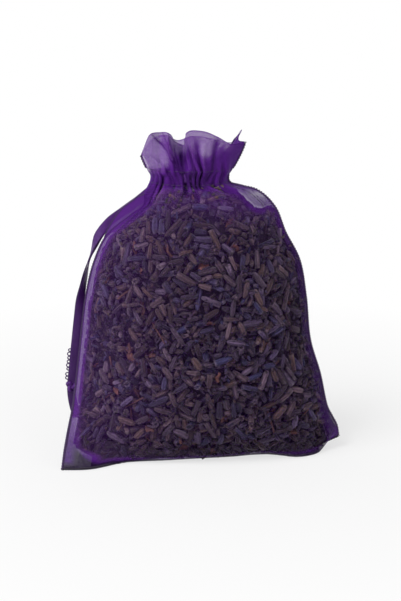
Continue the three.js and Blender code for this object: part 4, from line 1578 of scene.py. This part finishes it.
    def _knot(self) -> Patch:
        """An overhand knot, along x = sin a + 2 sin 2a, z = cos a - 2 cos 2a, y = -sin 3a."""
        turn = np.linspace(0, 2 * math.pi, 73)
        size = self.knot_size * 0.135
        loop = size * np.stack(
            [np.sin(turn) + 2 * np.sin(2 * turn), -1.2 * np.sin(3 * turn),
             1.15 * (np.cos(turn) - 2 * np.cos(2 * turn))], axis=1,
        )
        facing = np.array([0.1, 1.0, 0.2])
        return thread(loop + self.route.points[-1], self.knot_size * 0.2, facing, 10)

    def _tail(self, side: Side, length: float, lean: float) -> Patch:
        """A cut end below the knot that bends sideways as the square of the way down.

        Args:
            side: the strand that it ends.
            length: length below the knot.
            lean: way sideways at its tip.

        Returns:
            The tail.
        """
        way = np.linspace(0, 1, 16)
        beside_knot = np.full(16, side.value * self.strand_space)
        path = np.stack([lean * way**2, beside_knot, -0.6 * MM - length * way], axis=1)
        path = self.route.points[-1] + path
        through, across = frames_along(path, ALONG_Y)
        return self._band(path, across, through, self.worn_length)

    def _loop(self) -> Patch:
        """The ribbon in the channel, standing on edge: in along the front, out along the back."""
        shape = self.shape
        middle = shape.shoulder + shape.channel_height / 2
        shares = np.linspace(-1, 1, 7) * self.hem_reach
        row = (FOOT_ROW + HEAD_ROW) / 2
        lanes = {
            side: shape.point(side, shares, row) - self.lane * shape.normal(side, shares, row)
            for side in Side
        }
        half, depth = shape.neck_width / 2, shape.neck_depth / 2
        turn = (shape.neck_offset + 0.86 * half, 0, middle)
        start = shape.neck_offset - 0.78 * half
        leads = [(start, forward * depth, middle) for forward in (-0.42, 0.42)]
        points = np.vstack(
            [leads[:1], lanes[Side.FRONT], [turn], lanes[Side.BACK][::-1], leads[1:]]
        )
        points[:, 2] = middle
        path = Rail(points).spaced(0, 1, 120)
        across, through = frames_along(path, ALONG_Z)
        return self._band(path, across, through)

    def build(self, finish: Material, edging: Material) -> None:
        """Args:
            finish: the ribbon's material.
            edging: the material of the thread loops along its edge.
        """
        knot = piece("ribbon_knot", self._knot(), finish)
        dress(knot, Body.END, ("drawstring_knot",))
        tails = {}
        for side, name, length, lean in self.TAILS:
            tail = piece(f"ribbon_{name}", self._tail(side, length, lean), finish)
            tails[side] = dress(tail, Body.END, (name,))
        for side, name in ((Side.FRONT, "front_strand"), (Side.BACK, "rear_strand")):
            path, wide, through, past = self._strand(side)
            near, far = past <= self.mouth_stop, past >= self.mouth_stop - 0.5 * MM
            band = self._band(path[near], wide[near], through[near])
            mouth = piece(f"{name}_mouth_ribbon", band, finish)
            dress(mouth, None, (f"{name}_mouth",))
            bend = [path[np.argmin(np.abs(past - at))] for at in (-self.bend_start, self.bend_stop)]
            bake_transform(mouth)
            run = path[far]
            strand = piece(f"{name}_ribbon", self._band(run, wide[far], through[far]), finish)
            dress(strand, None, (f"{name}_upper", f"{name}_lower"))
            fold = np.argmin(np.linalg.norm(run - self.route.points[7], axis=1))
            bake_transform(strand)
            goes_with = [mouth, tails[side]] + ([knot] if side is Side.FRONT else [])
            if side is Side.FRONT:
                picots = piece("picot_edge", self._picots(run, wide[far]), edging)
                goes_with.append(dress(picots, Body.END))
        loop = piece("ribbon_loop", self._loop(), finish)
        dress(loop, Body.BAG, ("drawstring_loop",))


@dataclass
class OrganzaPanel:
    """One panel of the bag, from the bottom seam to the lip and back down inside as the hem."""

    cloth: GatheredCloth
    space: FillSpace
    side: Side
    columns: int = 211
    rows: int = 236
    hem_rows: int = 34
    cut_width: float = 90 * MM
    cut_height: float = 142 * MM
    hem_foot: float = 11.95
    hem_inset: float = 0.9 * MM
    allowance: float = 4 * MM
    allowance_inset: float = 0.35 * MM
    allowance_share: float = 0.3
    filled_cover: float = 0.05
    haze_cover: float = 0.05
    upper_cover: float = 0.04
    crown_cover: float = 0.1
    crown_heights: tuple[float, float] = (75 * MM, 86 * MM)
    crown_drop: float = 3 * MM
    empty_cover: float = 0.47
    left_cover: float = 0.62
    right_cover: float = 0.84
    gathered_cover: float = 0.93
    ruffle_covers = {Side.FRONT: 0.58, Side.BACK: 0.25}
    notch_cover: float = 0.3
    near_cover: float = 0.2
    near_depths: tuple[float, float] = (-4.5 * MM, -0.2 * MM)
    nook_shade_cover: float = 0.8
    floor_shade_cover: float = 0.85
    floor_shade_heights: tuple[float, float] = (3 * MM, 0.8 * MM)
    strip_cover: float = 1.15
    strip_tone: float = 0.3
    deep_tone: float = OrganzaFinish.deep_tone
    haze_tone: float = 0.1
    left_tone: float = 0.25
    crown_tone: float = 0.3
    flank_tone: float = 0.14
    right_shade_tone: float = 0.15
    floor_shade_tone: float = 0.25
    middle_tone: float = 0.1
    valley_shade_tone: float = 0.07
    spread_tone: float = 0.35

    def _spread(self, across: Array, rise: Array) -> Array:
        """How far the ruffle's gathers have opened, 0 to 1.

        In front, the left petal opens from the neck at its outer edge, the middle one only near its
        lip but lower down to the right, and the right one just below its lip and not at its end.

        Args:
            across: places between the side seams.
            rise: rows above the neck.

        Returns:
            The opening at each place.
        """
        right = smoothstep(0.56, 0.74, across)
        if self.side is Side.BACK:
            rise = rise + 0.5 * smoothstep(-0.1, -0.6, across)
            return smoothstep(0.05, 0.5, rise) * (1 - 0.9 * right)
        start = -0.42 + 0.68 * smoothstep(-0.8, -0.22, across)
        start = start + 0.3 * smoothstep(-0.24, -0.12, across)
        start = start - 0.38 * smoothstep(0.12, 0.36, across) + 0.4 * right
        return smoothstep(0, 0.3, rise - start) * (1 - 0.95 * smoothstep(0.76, 0.9, across))

    def _neck(self, across: Array, row: Array) -> Array:
        """How far the cloth is gathered, 0 to 1: lower at the right than left of the middle."""
        start = 11.0 + 0.45 * np.exp(-(((across + 0.32) / 0.3) ** 2))
        start = start - 0.45 * smoothstep(0.35, 0.7, across)
        return smoothstep(0, 0.8, row - start)

    def _bare_cover(self, across: Array, row: Array) -> Array:
        """Cover where nothing is between the panels: least at the right shoulder, most below it."""
        left = smoothstep(-0.3, -0.7, across)
        right = smoothstep(0.4, 0.75, across) * (1 - smoothstep(*SHOULDER_ROWS, row))
        added = (self.left_cover - self.empty_cover) * left
        added = added + (self.right_cover - self.empty_cover) * right
        return self.empty_cover + added + 0.06 * left * (1 - smoothstep(1.5, 3.5, row))

    def _body_marks(
        self, points: Array, across: Array, row: Array, neck: Array,
    ) -> tuple[Array, Array]:
        """Cover and tone of the cloth where it isn't gathered.

        The cover is low before buds, with a pale haze at the left and over the crown of the heap.
        It is higher where nothing lies between the panels, the more so close to the heap on the
        right shoulder. Painted shade makes the cloth next to the floor and in the nook of the left
        corner closed and dark, and darkens the right edge; the left flank is a little paler.

        Args:
            points: points of the cloth.
            across: places between the side seams.
            row: places up the bag.
            neck: how far the cloth is gathered there.

        Returns:
            The cover and the tone at each point.
        """
        thin = 1 - self.space.screened(points)
        edge = smoothstep(0.93, 0.985, np.abs(across)) * (1 - neck)
        left = smoothstep(0.3, -1, across)
        height = points[..., 2]
        # Painted shade: the cloth next to the floor and in the left corner's nook is closed and
        # dark.
        floor_shade = smoothstep(*self.floor_shade_heights, height)
        nook = smoothstep(-0.97, -0.89, across) * smoothstep(-0.7, -0.8, across)
        nook = nook * smoothstep(2, 1.2, row)
        drop = self.crown_drop * smoothstep(0.1, 0.5, across)
        crown = smoothstep(*self.crown_heights, height + drop)
        filled = self.filled_cover + self.haze_cover * left**2
        filled = filled + self.upper_cover * smoothstep(7, 10.5, row) + self.crown_cover * crown
        shoulder = smoothstep(0.5, 0.75, across) * smoothstep(*SHOULDER_ROWS, row)
        near = self.space.screened(points, *self.near_depths)
        bare = self._bare_cover(across, row) + self.near_cover * near * shoulder
        cover = filled + (bare - filled) * np.maximum(thin, edge)
        cover = np.maximum(cover, np.maximum(self.floor_shade_cover * floor_shade, self.nook_shade_cover * nook))
        below = smoothstep(*SHOULDER_ROWS[::-1], row)
        # Painted shade darkens the right edge, away from the key lamp.
        right_shade = smoothstep(0.82, 0.96, across) * smoothstep(0.3, 1.6, row) * below
        flank = smoothstep(-0.86, -0.94, across) * smoothstep(1.6, 2.6, row)
        flank = flank * smoothstep(10.5, 9.5, row)
        haze = self.haze_tone + self.left_tone * left + self.crown_tone * crown
        tone = self.deep_tone + haze * (1 - thin) * (1 - edge)
        tone = tone + self.flank_tone * flank - self.right_shade_tone * right_shade
        return cover, tone - self.floor_shade_tone * np.maximum(floor_shade, nook)

    def _marks(self, points: Array, across: Array, row: Array) -> dict[str, Array]:
        """How closely the cloth covers what is behind it, and how pale it is.

        Gathered cloth covers more than the rest and is deeper in colour. Painted shade darkens it
        in the pleats' valleys and on sharp inward folds, which also cover more, and painted light
        makes outward folds paler and thinner. The opened ruffle is thinner and paler, but for a
        notch behind.

        Args:
            points: points of the cloth.
            across: their places between the side seams.
            row: their places up the bag.

        Returns:
            The two marks, one number to a point.
        """
        rise = np.clip(row - HEAD_ROW, 0, 1)
        fold = self.cloth.crease(self.side, across, row)
        valley = (0.5 - 0.5 * np.cos(self.cloth.phase(self.side, across, row))) ** 3
        neck = self._neck(across, row)
        cover, tone = self._body_marks(points, across, row, neck)
        ruffle = smoothstep(12.7, 13.1, row + 0.3 * smoothstep(-0.3, -0.7, across))
        lip = smoothstep(0.965, 0.995, rise)
        middle = np.exp(-(((across - 0.08) / 0.4) ** 2))
        # Painted shade: the neck is darker in the pleats' valleys; its middle is deeper.
        neck_tone = self.deep_tone - self.middle_tone * middle - self.valley_shade_tone * valley
        spread = np.clip(self._spread(across, row - HEAD_ROW) - 0.6 * fold, 0, 1) * ruffle
        # Painted shade in the ruffle's pleat valleys, fading up to the lip.
        shade = 1 - 0.3 * valley * (1 - rise) ** 3
        ruffle_tone = (self.deep_tone + self.spread_tone * spread) * shade
        tone = tone + (neck_tone - tone) * neck
        tone = tone + (ruffle_tone - tone) * ruffle
        # Painted shade on inward folds and painted light on outward ones; the lip's edge is darker.
        tone = np.clip(tone * (1 - 0.55 * fold) * (1 - 0.5 * lip), 0, 1)
        notch = self.notch_cover * np.exp(-(((across + 0.38) / 0.16) ** 2))
        opened = self.ruffle_covers[self.side] + notch * (self.side is Side.BACK)
        gathered = self.gathered_cover + (opened - self.gathered_cover) * spread
        cover = cover + (gathered - cover) * neck
        # Inward folds cover more and outward ones less, with their painted shade and light.
        cover = np.clip(cover + 0.2 * fold + 0.3 * lip, 0, 1)
        return {"cover": cover.ravel(), "tone": tone.ravel()}

    def _grid(self, across: Array, row: Array, along: Array, inset: Any, layer: int) -> Patch:
        """A sheet of folded cloth on a grid of places, its UV in metres of flat cloth.

        Args:
            across: places between the side seams.
            row: places up the bag.
            along: length of flat cloth up to each row.
            inset: how far inside the panel the sheet lies.
            layer: 1 for the outer cloth, -1 for the hem.

        Returns:
            The sheet.
        """
        points = self.cloth.point(self.side, across, row, inset, layer)
        rows, columns = points.shape[:2]
        quads = grid_quads(rows, columns)
        facing = self.side is Side.FRONT
        flat = np.broadcast_to(along, (rows, columns))
        uv = np.stack([across * self.cut_width / 2, flat], axis=-1)
        return Patch(
            points.reshape(-1, 3),
            quads if facing else quads[:, ::-1],
            uv=uv.reshape(-1, 2),
            marks=self._marks(points, *np.broadcast_arrays(across, row)),
        )

    def _even_rows(self, start: float, stop: float, count: int) -> tuple[Array, Array]:
        """Rows an equal length of cloth apart, and that running length."""
        dense = np.linspace(start, stop, 900)
        along = lengths_along(self.cloth.shape.point(self.side, 0.3, dense))
        wanted = np.linspace(0, along[-1], count)
        return np.interp(wanted, along, dense), wanted

    def _sheet(self) -> Patch:
        """The outer cloth and the hem, one sheet folded over at the lip."""
        outer_rows, outer_length = self._even_rows(0, LIP_ROW, self.rows)
        hem_rows, hem_length = self._even_rows(self.hem_foot, LIP_ROW, self.hem_rows)
        across = np.linspace(-1, 1, self.columns)
        outer = self._grid(*np.meshgrid(across, outer_rows), outer_length[:, None], 0.0, 1)
        hem_rows = hem_rows[::-1]
        depth = self.hem_inset * smoothstep(0, 0.25, LIP_ROW - hem_rows)
        hem_length = (outer_length[-1] + hem_length)[:, None]
        hem = self._grid(*np.meshgrid(across, hem_rows), hem_length, depth[:, None], -1)
        first = self.columns * (self.rows - 1)
        bridge = grid_quads(2, self.columns) + first
        if self.side is Side.BACK:
            bridge = bridge[:, ::-1]
        sheet = joined([outer, hem])
        sheet.quads = np.concatenate([sheet.quads, bridge])
        return sheet

    def _allowances(self) -> list[Patch]:
        """Strips of cloth turned in along the side seams, a little inside the panel."""
        rows, along = self._even_rows(0.25, 10.6, 190)
        width = self.cloth.shape.width(self.side, rows)
        strips = []
        for end in (-1, 1):
            reach = 2 * self.allowance / width
            across = end * (1 - reach[:, None] * np.linspace(0, 1, 9)[None])
            across = across[:, :: -end]
            row = np.broadcast_to(rows[:, None], across.shape)
            strip = self._grid(across, row, along[:, None], self.allowance_inset, 1)
            strip.marks["cover"] *= self.allowance_share
            strips.append(strip)
        return strips

    def _selvedge(self) -> Patch:
        """A strip of cloth that stands out past the left shoulder's seam, before the ribbon."""
        rows = np.linspace(8.5, 11.7, 70)
        seam, outward, width = self.cloth.selvedge(rows)
        share = np.linspace(0, 1, 7)
        reach = width[:, None] * share
        points = seam[:, None] + reach[..., None] * outward[:, None]
        flat = np.broadcast_to(lengths_along(seam)[:, None], reach.shape)
        uv = np.stack([-self.cut_width / 2 - reach, flat], axis=-1)
        given = {"cover": self.strip_cover, "tone": self.strip_tone}
        marks = {key: np.full(reach.size, number) for key, number in given.items()}
        quads = grid_quads(*reach.shape)
        return Patch(points.reshape(-1, 3), quads, uv=uv.reshape(-1, 2), marks=marks)

    def build(self, finish: Material) -> None:
        """Args:
            finish: the cloth's material.
        """
        name = self.side.name.lower()
        strips = self._allowances() + ([self._selvedge()] if self.side is Side.FRONT else [])
        patch = joined([self._sheet(), *strips])
        made = piece(f"{name}_organza", patch, finish)
        dress(made, Body.BAG, (f"{name}_panel",))


@dataclass
class Stitching:
    """Overlocked seams along the edges and the rows of straight stitches that hold the channel."""

    cloth: GatheredCloth
    bead: float = 0.36 * MM
    thread_radius: float = 0.13 * MM
    loop_pitch: float = 0.85 * MM
    loop_points: int = 10
    core_radius: float = 0.2 * MM
    core_space: float = 0.16 * MM
    edge_radius: float = 0.15 * MM
    stitch_pitch: float = 1.9 * MM
    stitch_length: float = 1.4 * MM
    stitch_radius: float = 0.1 * MM
    seat: float = 0.14 * MM
    needle_inset: float = 2.4 * MM

    DASH = np.array([(0, 0), (0.1, 0.75), (0.5, 1), (0.9, 0.75), (1, 0)])

    def _overlock(self, path: Array, up: Array) -> Patch:
        """A thread wound round a seam, R cos a and R sin a beside it, over two straight threads.

        Args:
            path: points of the seam.
            up: a direction that it never follows.

        Returns:
            The three threads.
        """
        length = lengths_along(path)[-1]
        dense = np.linspace(0, length, int(length / self.loop_pitch * self.loop_points))
        line = on_path(path, dense)
        line[:, 2] = np.maximum(line[:, 2], self.bead + self.thread_radius)
        rise, across = frames_along(line, up)
        angle = 2 * math.pi * dense / self.loop_pitch
        wound = line + self.bead * (np.cos(angle)[:, None] * rise + np.sin(angle)[:, None] * across)
        cores = [line[::4] + way * self.core_space * rise[::4] for way in (-1, 1)]
        straight = [thread(core, self.core_radius, up, 6) for core in cores]
        return joined([thread(wound, self.thread_radius, up, 5), *straight])

    def _dashes(self, path: Array) -> Patch:
        """A row of short straight stitches along a path.

        Args:
            path: points of the path.

        Returns:
            The stitches.
        """
        middles = np.arange(self.stitch_pitch / 2, lengths_along(path)[-1], self.stitch_pitch)
        ends = [on_path(path, middles + way * self.stitch_length / 2) for way in (-1, 1)]
        span = ends[1] - ends[0]
        lengths = np.linalg.norm(span, axis=1) + 2 * self.stitch_radius
        radii = np.full(len(middles), self.stitch_radius)
        patch = spindles((ends[0] + ends[1]) / 2, unit(span), lengths, radii, self.DASH, 6)
        patch.marks = {}
        return patch

    def _needle_line(self, end: int, rows: tuple[float, float]) -> Patch:
        """Stitches beside a side seam on both panels.

        Args:
            end: -1 for the left seam, 1 for the right.
            rows: its first and last row.

        Returns:
            The stitches.
        """
        row = np.linspace(*rows, 240)
        lines = []
        for side in Side:
            across = end * (1 - 2 * self.needle_inset / self.cloth.shape.width(side, row))
            lines.append(self._dashes(self.cloth.point(side, across, row, -self.seat)))
        return joined(lines)

    def _shoulder_edge(self) -> Patch:
        """A fine thread along the outer edge of the strip on the left shoulder."""
        foot, outward, width = self.cloth.selvedge(np.linspace(8.9, 11.5, 60))
        return thread(foot + width[:, None] * outward, self.edge_radius, ALONG_Y, 6)

    def _ruffle_edge(self, end: int) -> Array:
        """The edge of the ruffle from the neck to the lip."""
        shape = self.cloth.shape
        edge = shape.point(Side.FRONT, float(end), np.linspace(HEAD_ROW, LIP_ROW, 30))
        return edge + (0, shape.panel_gap * 0.1, 0)

    def build(self, finish: Material, shaded: Material) -> None:
        """Make the seams and the channel stitches.

        Args:
            finish: the thread.
            shaded: the thread of the seam on the floor, in the bag's own shade.
        """
        shape = self.cloth.shape
        slant = np.array([0.8, -0.6, -0.3])
        right = np.vstack([shape.right_seam.spaced(0, 1, 200), self._ruffle_edge(1)[1:]])
        left = shape.left_seam.spaced(0, 11 / HEAD_ROW, 200)
        bottom = shape.bottom_seam.spaced(0, 1, 200)
        floor_line = np.linspace(-0.7, 0.9, 200)
        foot = self.cloth.point(Side.FRONT, floor_line, 0.35, -self.seat)
        patches = {
            "left_side_seam": joined(
                [
                    self._overlock(left, slant),
                    self._needle_line(-1, (2.2, 10.4)),
                    self._shoulder_edge(),
                ]
            ),
            "left_ruffle_seam": self._overlock(self._ruffle_edge(-1), slant),
            "right_side_seam": joined(
                [self._overlock(right, slant), self._needle_line(1, (0.5, 11.6))]
            ),
            "bottom_seam": joined([self._overlock(bottom, ALONG_Z), self._dashes(foot)]),
        }
        across = np.linspace(-0.97, 0.97, 400)
        for side in Side:
            for row, place in ((HEAD_ROW, "upper"), (FOOT_ROW, "lower")):
                line = self.cloth.point(side, across, row, -self.seat)
                patches[f"{side.name.lower()}_{place}_stitches"] = self._dashes(line)
        for name, patch in patches.items():
            made = piece(f"{name}_thread", patch, shaded if name == "bottom_seam" else finish)
            dress(made, Body.BAG, (name,))


@dataclass
class BudFilling:
    """The dried lavender: open and closed calyces, corolla bits and a few stems."""

    packing: BudPacking
    space: FillSpace
    shown_depth: float = 5.5 * MM
    petal_share: float = 0.075
    crumbs: int = 5600
    rim_buds: int = 900
    rim_depth: float = 4.0 * MM
    stem_share: float = 0.012
    open_share: float = 0.5
    split_height: float = 36 * MM
    rest_height: float = 0.3 * MM
    bow: float = 0.45 * MM
    rib: float = 0.12
    petal_room: float = 1.3 * MM
    petal_grid: tuple[int, int] = (6, 5)

    OPEN = np.array(
        [(0, 0), (0.03, 0.5), (0.18, 0.82), (0.6, 0.95), (1, 1), (0.94, 0.62), (0.8, 0)]
    )
    CLOSED = np.array([(0, 0), (0.03, 0.5), (0.2, 0.88), (0.72, 1), (0.95, 0.66), (1, 0)])
    PLAIN = np.array([(0, 0), (0.12, 0.8), (0.8, 0.95), (1, 0)])
    TWIG = np.array([(0, 0), (0.01, 0.8), (0.35, 1), (0.7, 0.9), (0.99, 0.8), (1, 0)])

    def _calyces(self, chosen: Array, profile: Array, sides: int, rng: Random) -> Patch:
        """Calyces of one profile for the chosen rods, bowed away from the cloth and tinted.

        Args:
            chosen: a yes or no for each rod.
            profile: the calyx's outline.
            sides: points round it.
            rng: the source of random numbers.

        Returns:
            The calyces.
        """
        pack = self.packing
        count = int(chosen.sum())
        axes = pack.axes[chosen]
        inward = np.sign((beside(axes)[0] * pack.inward[chosen]).sum(1))
        bend = inward * np.abs(rng.normal(0, self.bow, count))
        patch = spindles(
            pack.centres[chosen], axes, pack.lengths[chosen], pack.radii[chosen], profile, sides,
            bend=bend, twist=rng.random(count) * math.pi, rib=self.rib,
        )
        return self._tinted(patch, count, rng, 1.3)

    def _petals(self, chosen: Array, rng: Random) -> Patch:
        """Curled corolla bits: frayed leaves sin(pi t)^0.6 wide, bowed up towards their sides.

        Args:
            chosen: a yes or no for each rod.
            rng: the source of random numbers.

        Returns:
            The bits.
        """
        pack = self.packing
        count = int(chosen.sum())
        long_way, wide_way = self.petal_grid
        ways = np.linspace(0.04, 0.96, long_way), np.linspace(-1, 1, wide_way)
        t, s = np.meshgrid(*ways, indexing="ij")
        axes = pack.axes[chosen]
        e1 = unit(np.cross(axes, rng.normal(size=(count, 3))))
        e2 = np.cross(axes, e1)
        long = pack.lengths[chosen][:, None, None] * rng.uniform(0.4, 0.9, (count, 1, 1))
        wide = rng.uniform(0.7, 1.5, (count, 1, 1)) * MM
        curl = rng.uniform(-1.2, 1.2, (count, 1, 1))
        ripple = rng.uniform(0, 6.3, (count, 1, 1))
        frayed = 1 + 0.4 * np.sin(8 * t + 3 * s + ripple) * np.abs(s)
        out = s * wide * frayed * np.sin(math.pi * t) ** 0.6
        lift = wide * curl * s**2 + 0.25 * MM * np.sin(9 * t + ripple)
        lift = lift + 0.2 * wide * np.cos(5 * s + ripple)
        centres = pack.centres[chosen]
        for _ in range(2):
            centres = self.space.confined(centres, self.petal_room)
        points = (
            centres[:, None, None]
            + ((t - 0.5) * long)[..., None] * axes[:, None, None]
            + out[..., None] * e1[:, None, None]
            + lift[..., None] * e2[:, None, None]
        )
        for _ in range(2):
            outside = np.maximum(-self.space.depth(points).min(axis=(1, 2)), 0)
            points += (outside[:, None] * self.space.inward(centres))[:, None, None]
        return Patch(
            points.reshape(-1, 3),
            copied(grid_quads(*self.petal_grid), t.size, count),
            uv=np.zeros((t.size * count, 2)),
            marks={"tint": np.repeat(rng.random(count), t.size)},
        )

    def _crumbs(self, rng: Random) -> Patch:
        """Broken bits that fill the chinks between the buds next to the cloth.

        Args:
            rng: the source of random numbers.

        Returns:
            The crumbs.
        """
        space, count = self.space, self.crumbs
        rods = space.drawn_in(
            space.scatter(count, rng, 0.2 * MM, 2.2 * MM), unit(rng.normal(size=(count, 3))),
            rng.uniform(1.1, 2.8, count) * MM, rng.uniform(0.2, 0.5, count) * MM,
        )
        return self._tinted(spindles(*rods, self.PLAIN, 5), len(rods[0]), rng, 0.9)

    def _rim(self, rng: Random) -> Patch:
        """Slim buds along the rim of the heap, where the panels come together.

        Args:
            rng: the source of random numbers.

        Returns:
            The buds.
        """
        space, count = self.space, self.rim_buds
        rods = space.drawn_in(
            space.scatter(count, rng, 0.45 * MM, 2 * MM, self.rim_depth),
            unit(rng.normal(size=(count, 3))),
            rng.uniform(3, 5, count) * MM, rng.uniform(0.42, 0.7, count) * MM,
        )
        return self._tinted(spindles(*rods, self.CLOSED, 6, rib=self.rib), len(rods[0]), rng, 1.2)

    def _shade_core(self, rng: Random) -> Patch:
        """Painted shade in the heart of the heap: a dark lens half-way between the panels.

        Its faces stand off the middle by 0.8 of the depth there, less a rim, and meet where the
        filling ends.

        Args:
            rng: the source of random numbers.

        Returns:
            The lens.
        """
        across, row = np.meshgrid(np.linspace(-0.985, 0.985, 120), np.linspace(0.12, 11.8, 140))
        shape = self.space.cloth.shape
        middle = (shape.point(Side.FRONT, across, row) + shape.point(Side.BACK, across, row)) / 2
        depth = self.space.depth(middle)
        half = 0.8 * np.maximum(depth - 0.25 * MM, 0)[..., None] * ALONG_Y
        quads = grid_quads(*across.shape)
        quads = quads[(depth.ravel()[quads] > 0.1 * MM).all(axis=1)]
        kept, quads = np.unique(quads, return_inverse=True)
        quads = quads.reshape(-1, 4)
        faces = [(middle + way * half).reshape(-1, 3)[kept] for way in (-1, 1)]
        return self._shade_skin(np.concatenate(faces), quads, rng)

    def _shade_bed(self, rng: Random) -> Patch:
        """Painted shade along the bottom: a thin dark skin just inside both panels.

        Rows below 0 stand for the back panel. The skin lies 0.35 mm inside the cloth at the bottom
        seam and 1.3 mm inside it three rows up, and its two faces meet along its edges.

        Args:
            rng: the source of random numbers.

        Returns:
            The skin.
        """
        across, row = np.meshgrid(np.linspace(-0.8, 0.86, 100), np.linspace(-3, 3, 49))
        inset = 0.35 * MM + 0.95 * MM * smoothstep(0.8, 3, np.abs(row))
        body = (1 - np.abs(row / 3) ** 8) * (1 - np.abs((across - 0.03) / 0.83) ** 8)
        cloth = self.space.cloth
        faces = []
        for depth in (inset, inset + 0.3 * MM * body):
            panels = [cloth.point(side, across, np.abs(row), depth) for side in Side]
            faces.append(np.where((row > 0)[..., None], *panels).reshape(-1, 3))
        return self._shade_skin(np.concatenate(faces), grid_quads(*across.shape), rng)

    @staticmethod
    def _shade_skin(points: Array, quads: Array, rng: Random) -> Patch:
        """A skin of painted shade: the points of one face, then the other, each with a dark shade.

        Args:
            points: points of both faces.
            quads: faces of one side.
            rng: the source of random numbers.

        Returns:
            The skin.
        """
        count = len(points)
        both = np.concatenate([quads, quads[:, ::-1] + count // 2])
        marks = {
            "along": np.full(count, 0.5),
            "tint": rng.random(count),
            "shade": rng.uniform(0, 0.15, count),
        }
        return Patch(points, both, uv=np.zeros((count, 2)), marks=marks)

    def _tinted(self, patch: Patch, count: int, rng: Random, brightest: float) -> Patch:
        """Give each copy in a patch a tint and a shade of its own.

        The shade carries painted light and shade: it falls to a third next to the floor, and the
        buds at the left are brighter by up to a third, and those at the top by up to a half.

        Args:
            patch: the copies.
            count: their number.
            rng: the source of random numbers.
            brightest: the most that a shade can grow by.

        Returns:
            The same patch.
        """
        size = len(patch.points) // count
        x, _, z = patch.points.reshape(count, size, 3).mean(1).T
        # Painted shade next to the floor, and painted light at the left and at the top of the heap.
        light = 0.3 + 0.7 * smoothstep(0, 16 * MM, z)
        light = light * (1 + 0.3 * smoothstep(10 * MM, -42 * MM, x))
        light = light * (1 + 0.5 * smoothstep(74 * MM, 84 * MM, z))
        patch.marks["tint"] = np.repeat(rng.beta(1.0, 1.25, count), size)
        shade = (0.12 + brightest * rng.beta(1.4, 2.2, count)) * light
        patch.marks["shade"] = np.repeat(shade, size)
        return patch

    def _stems(self, chosen: Array, rng: Random) -> Patch:
        """Bits of stem, longer and thinner than the buds.

        Args:
            chosen: a yes or no for each rod.
            rng: the source of random numbers.

        Returns:
            The stems.
        """
        pack = self.packing
        count = int(chosen.sum())
        rods = self.space.drawn_in(
            pack.centres[chosen], pack.axes[chosen], rng.uniform(7, 10, count) * MM,
            rng.uniform(0.3, 0.45, count) * MM,
        )
        patch = spindles(*rods, self.TWIG, 5)
        count = len(rods[0])
        patch.marks = {"tint": np.repeat(rng.random(count) * 0.5, len(patch.points) // count)}
        return patch

    def _heap(self, name: str, patches: list[Patch], finish: Material) -> None:
        """Make a piece of the filling from patches, lifted off the floor."""
        patch = joined(patches)
        patch.points[:, 2] = np.maximum(patch.points[:, 2], self.rest_height)
        dress(piece(name, patch, finish), Body.BAG, ("lavender_buds",))

    def build(self, calyx: Material, petal: Material, rng: Random) -> None:
        """Make the buds that show, the plain ones behind them, the petals and the stems.

        Args:
            calyx: the material of the buds, the crumbs and the skins of painted shade.
            petal: the material of the corolla bits and stems.
            rng: the source of random numbers.
        """
        pack = self.packing
        draw = rng.random(len(pack.centres))
        shown = pack.depths < self.shown_depth
        petal_bits = shown & (draw < self.petal_share)
        stems = shown & (draw > 1 - self.stem_share)
        buds = shown & ~petal_bits & ~stems
        opened = rng.random(len(draw)) < self.open_share
        low = pack.centres[:, 2] < self.split_height
        for name, half in (("lavender_buds_low", low), ("lavender_buds_high", ~low)):
            calyces = [
                self._calyces(buds & half & opened, self.OPEN, 8, rng),
                self._calyces(buds & half & ~opened, self.CLOSED, 8, rng),
            ]
            self._heap(name, calyces, calyx)
        self._heap("lavender_crumbs", [self._crumbs(rng), self._rim(rng)], calyx)
        self._heap("lavender_buds_inner", [self._calyces(~shown, self.PLAIN, 6, rng)], calyx)
        # Dark skins of painted shade, deep in the heap and along the bottom.
        self._heap("lavender_shade_skins", [self._shade_core(rng), self._shade_bed(rng)], calyx)
        bits = [self._petals(petal_bits, rng), self._stems(stems, rng)]
        self._heap("lavender_petals_and_stems", bits, petal)


def main() -> None:
    """Build the studio, then the ribbon, the buds, the cloth and the stitching."""
    logging.basicConfig(level=logging.INFO, format="%(name)s %(message)s")
    rng = np.random.default_rng(SEED)
    Studio().build()
    shape = BagShape()
    cloth = GatheredCloth(shape)
    thread_finish = ThreadFinish().material()
    RibbonDrawstring(shape).build(RibbonFinish().material(), thread_finish)
    space = FillSpace(cloth)
    packing = BudPacking()
    packing.settle(space, rng)
    LOG.info("%d rods in %.1f cm3", len(packing.centres), space.volume * 1e6)
    BudFilling(packing, space).build(BudFinish().material(), PetalFinish().material(), rng)
    organza = OrganzaFinish().material()
    for side in Side:
        OrganzaPanel(cloth, space, side).build(organza)
    shaded = ThreadFinish("shaded_thread", (0.018, 0.008, 0.03), (0.006, 0.003, 0.011))
    Stitching(cloth).build(thread_finish, shaded.material())


if __name__ == "__main__":
    main()
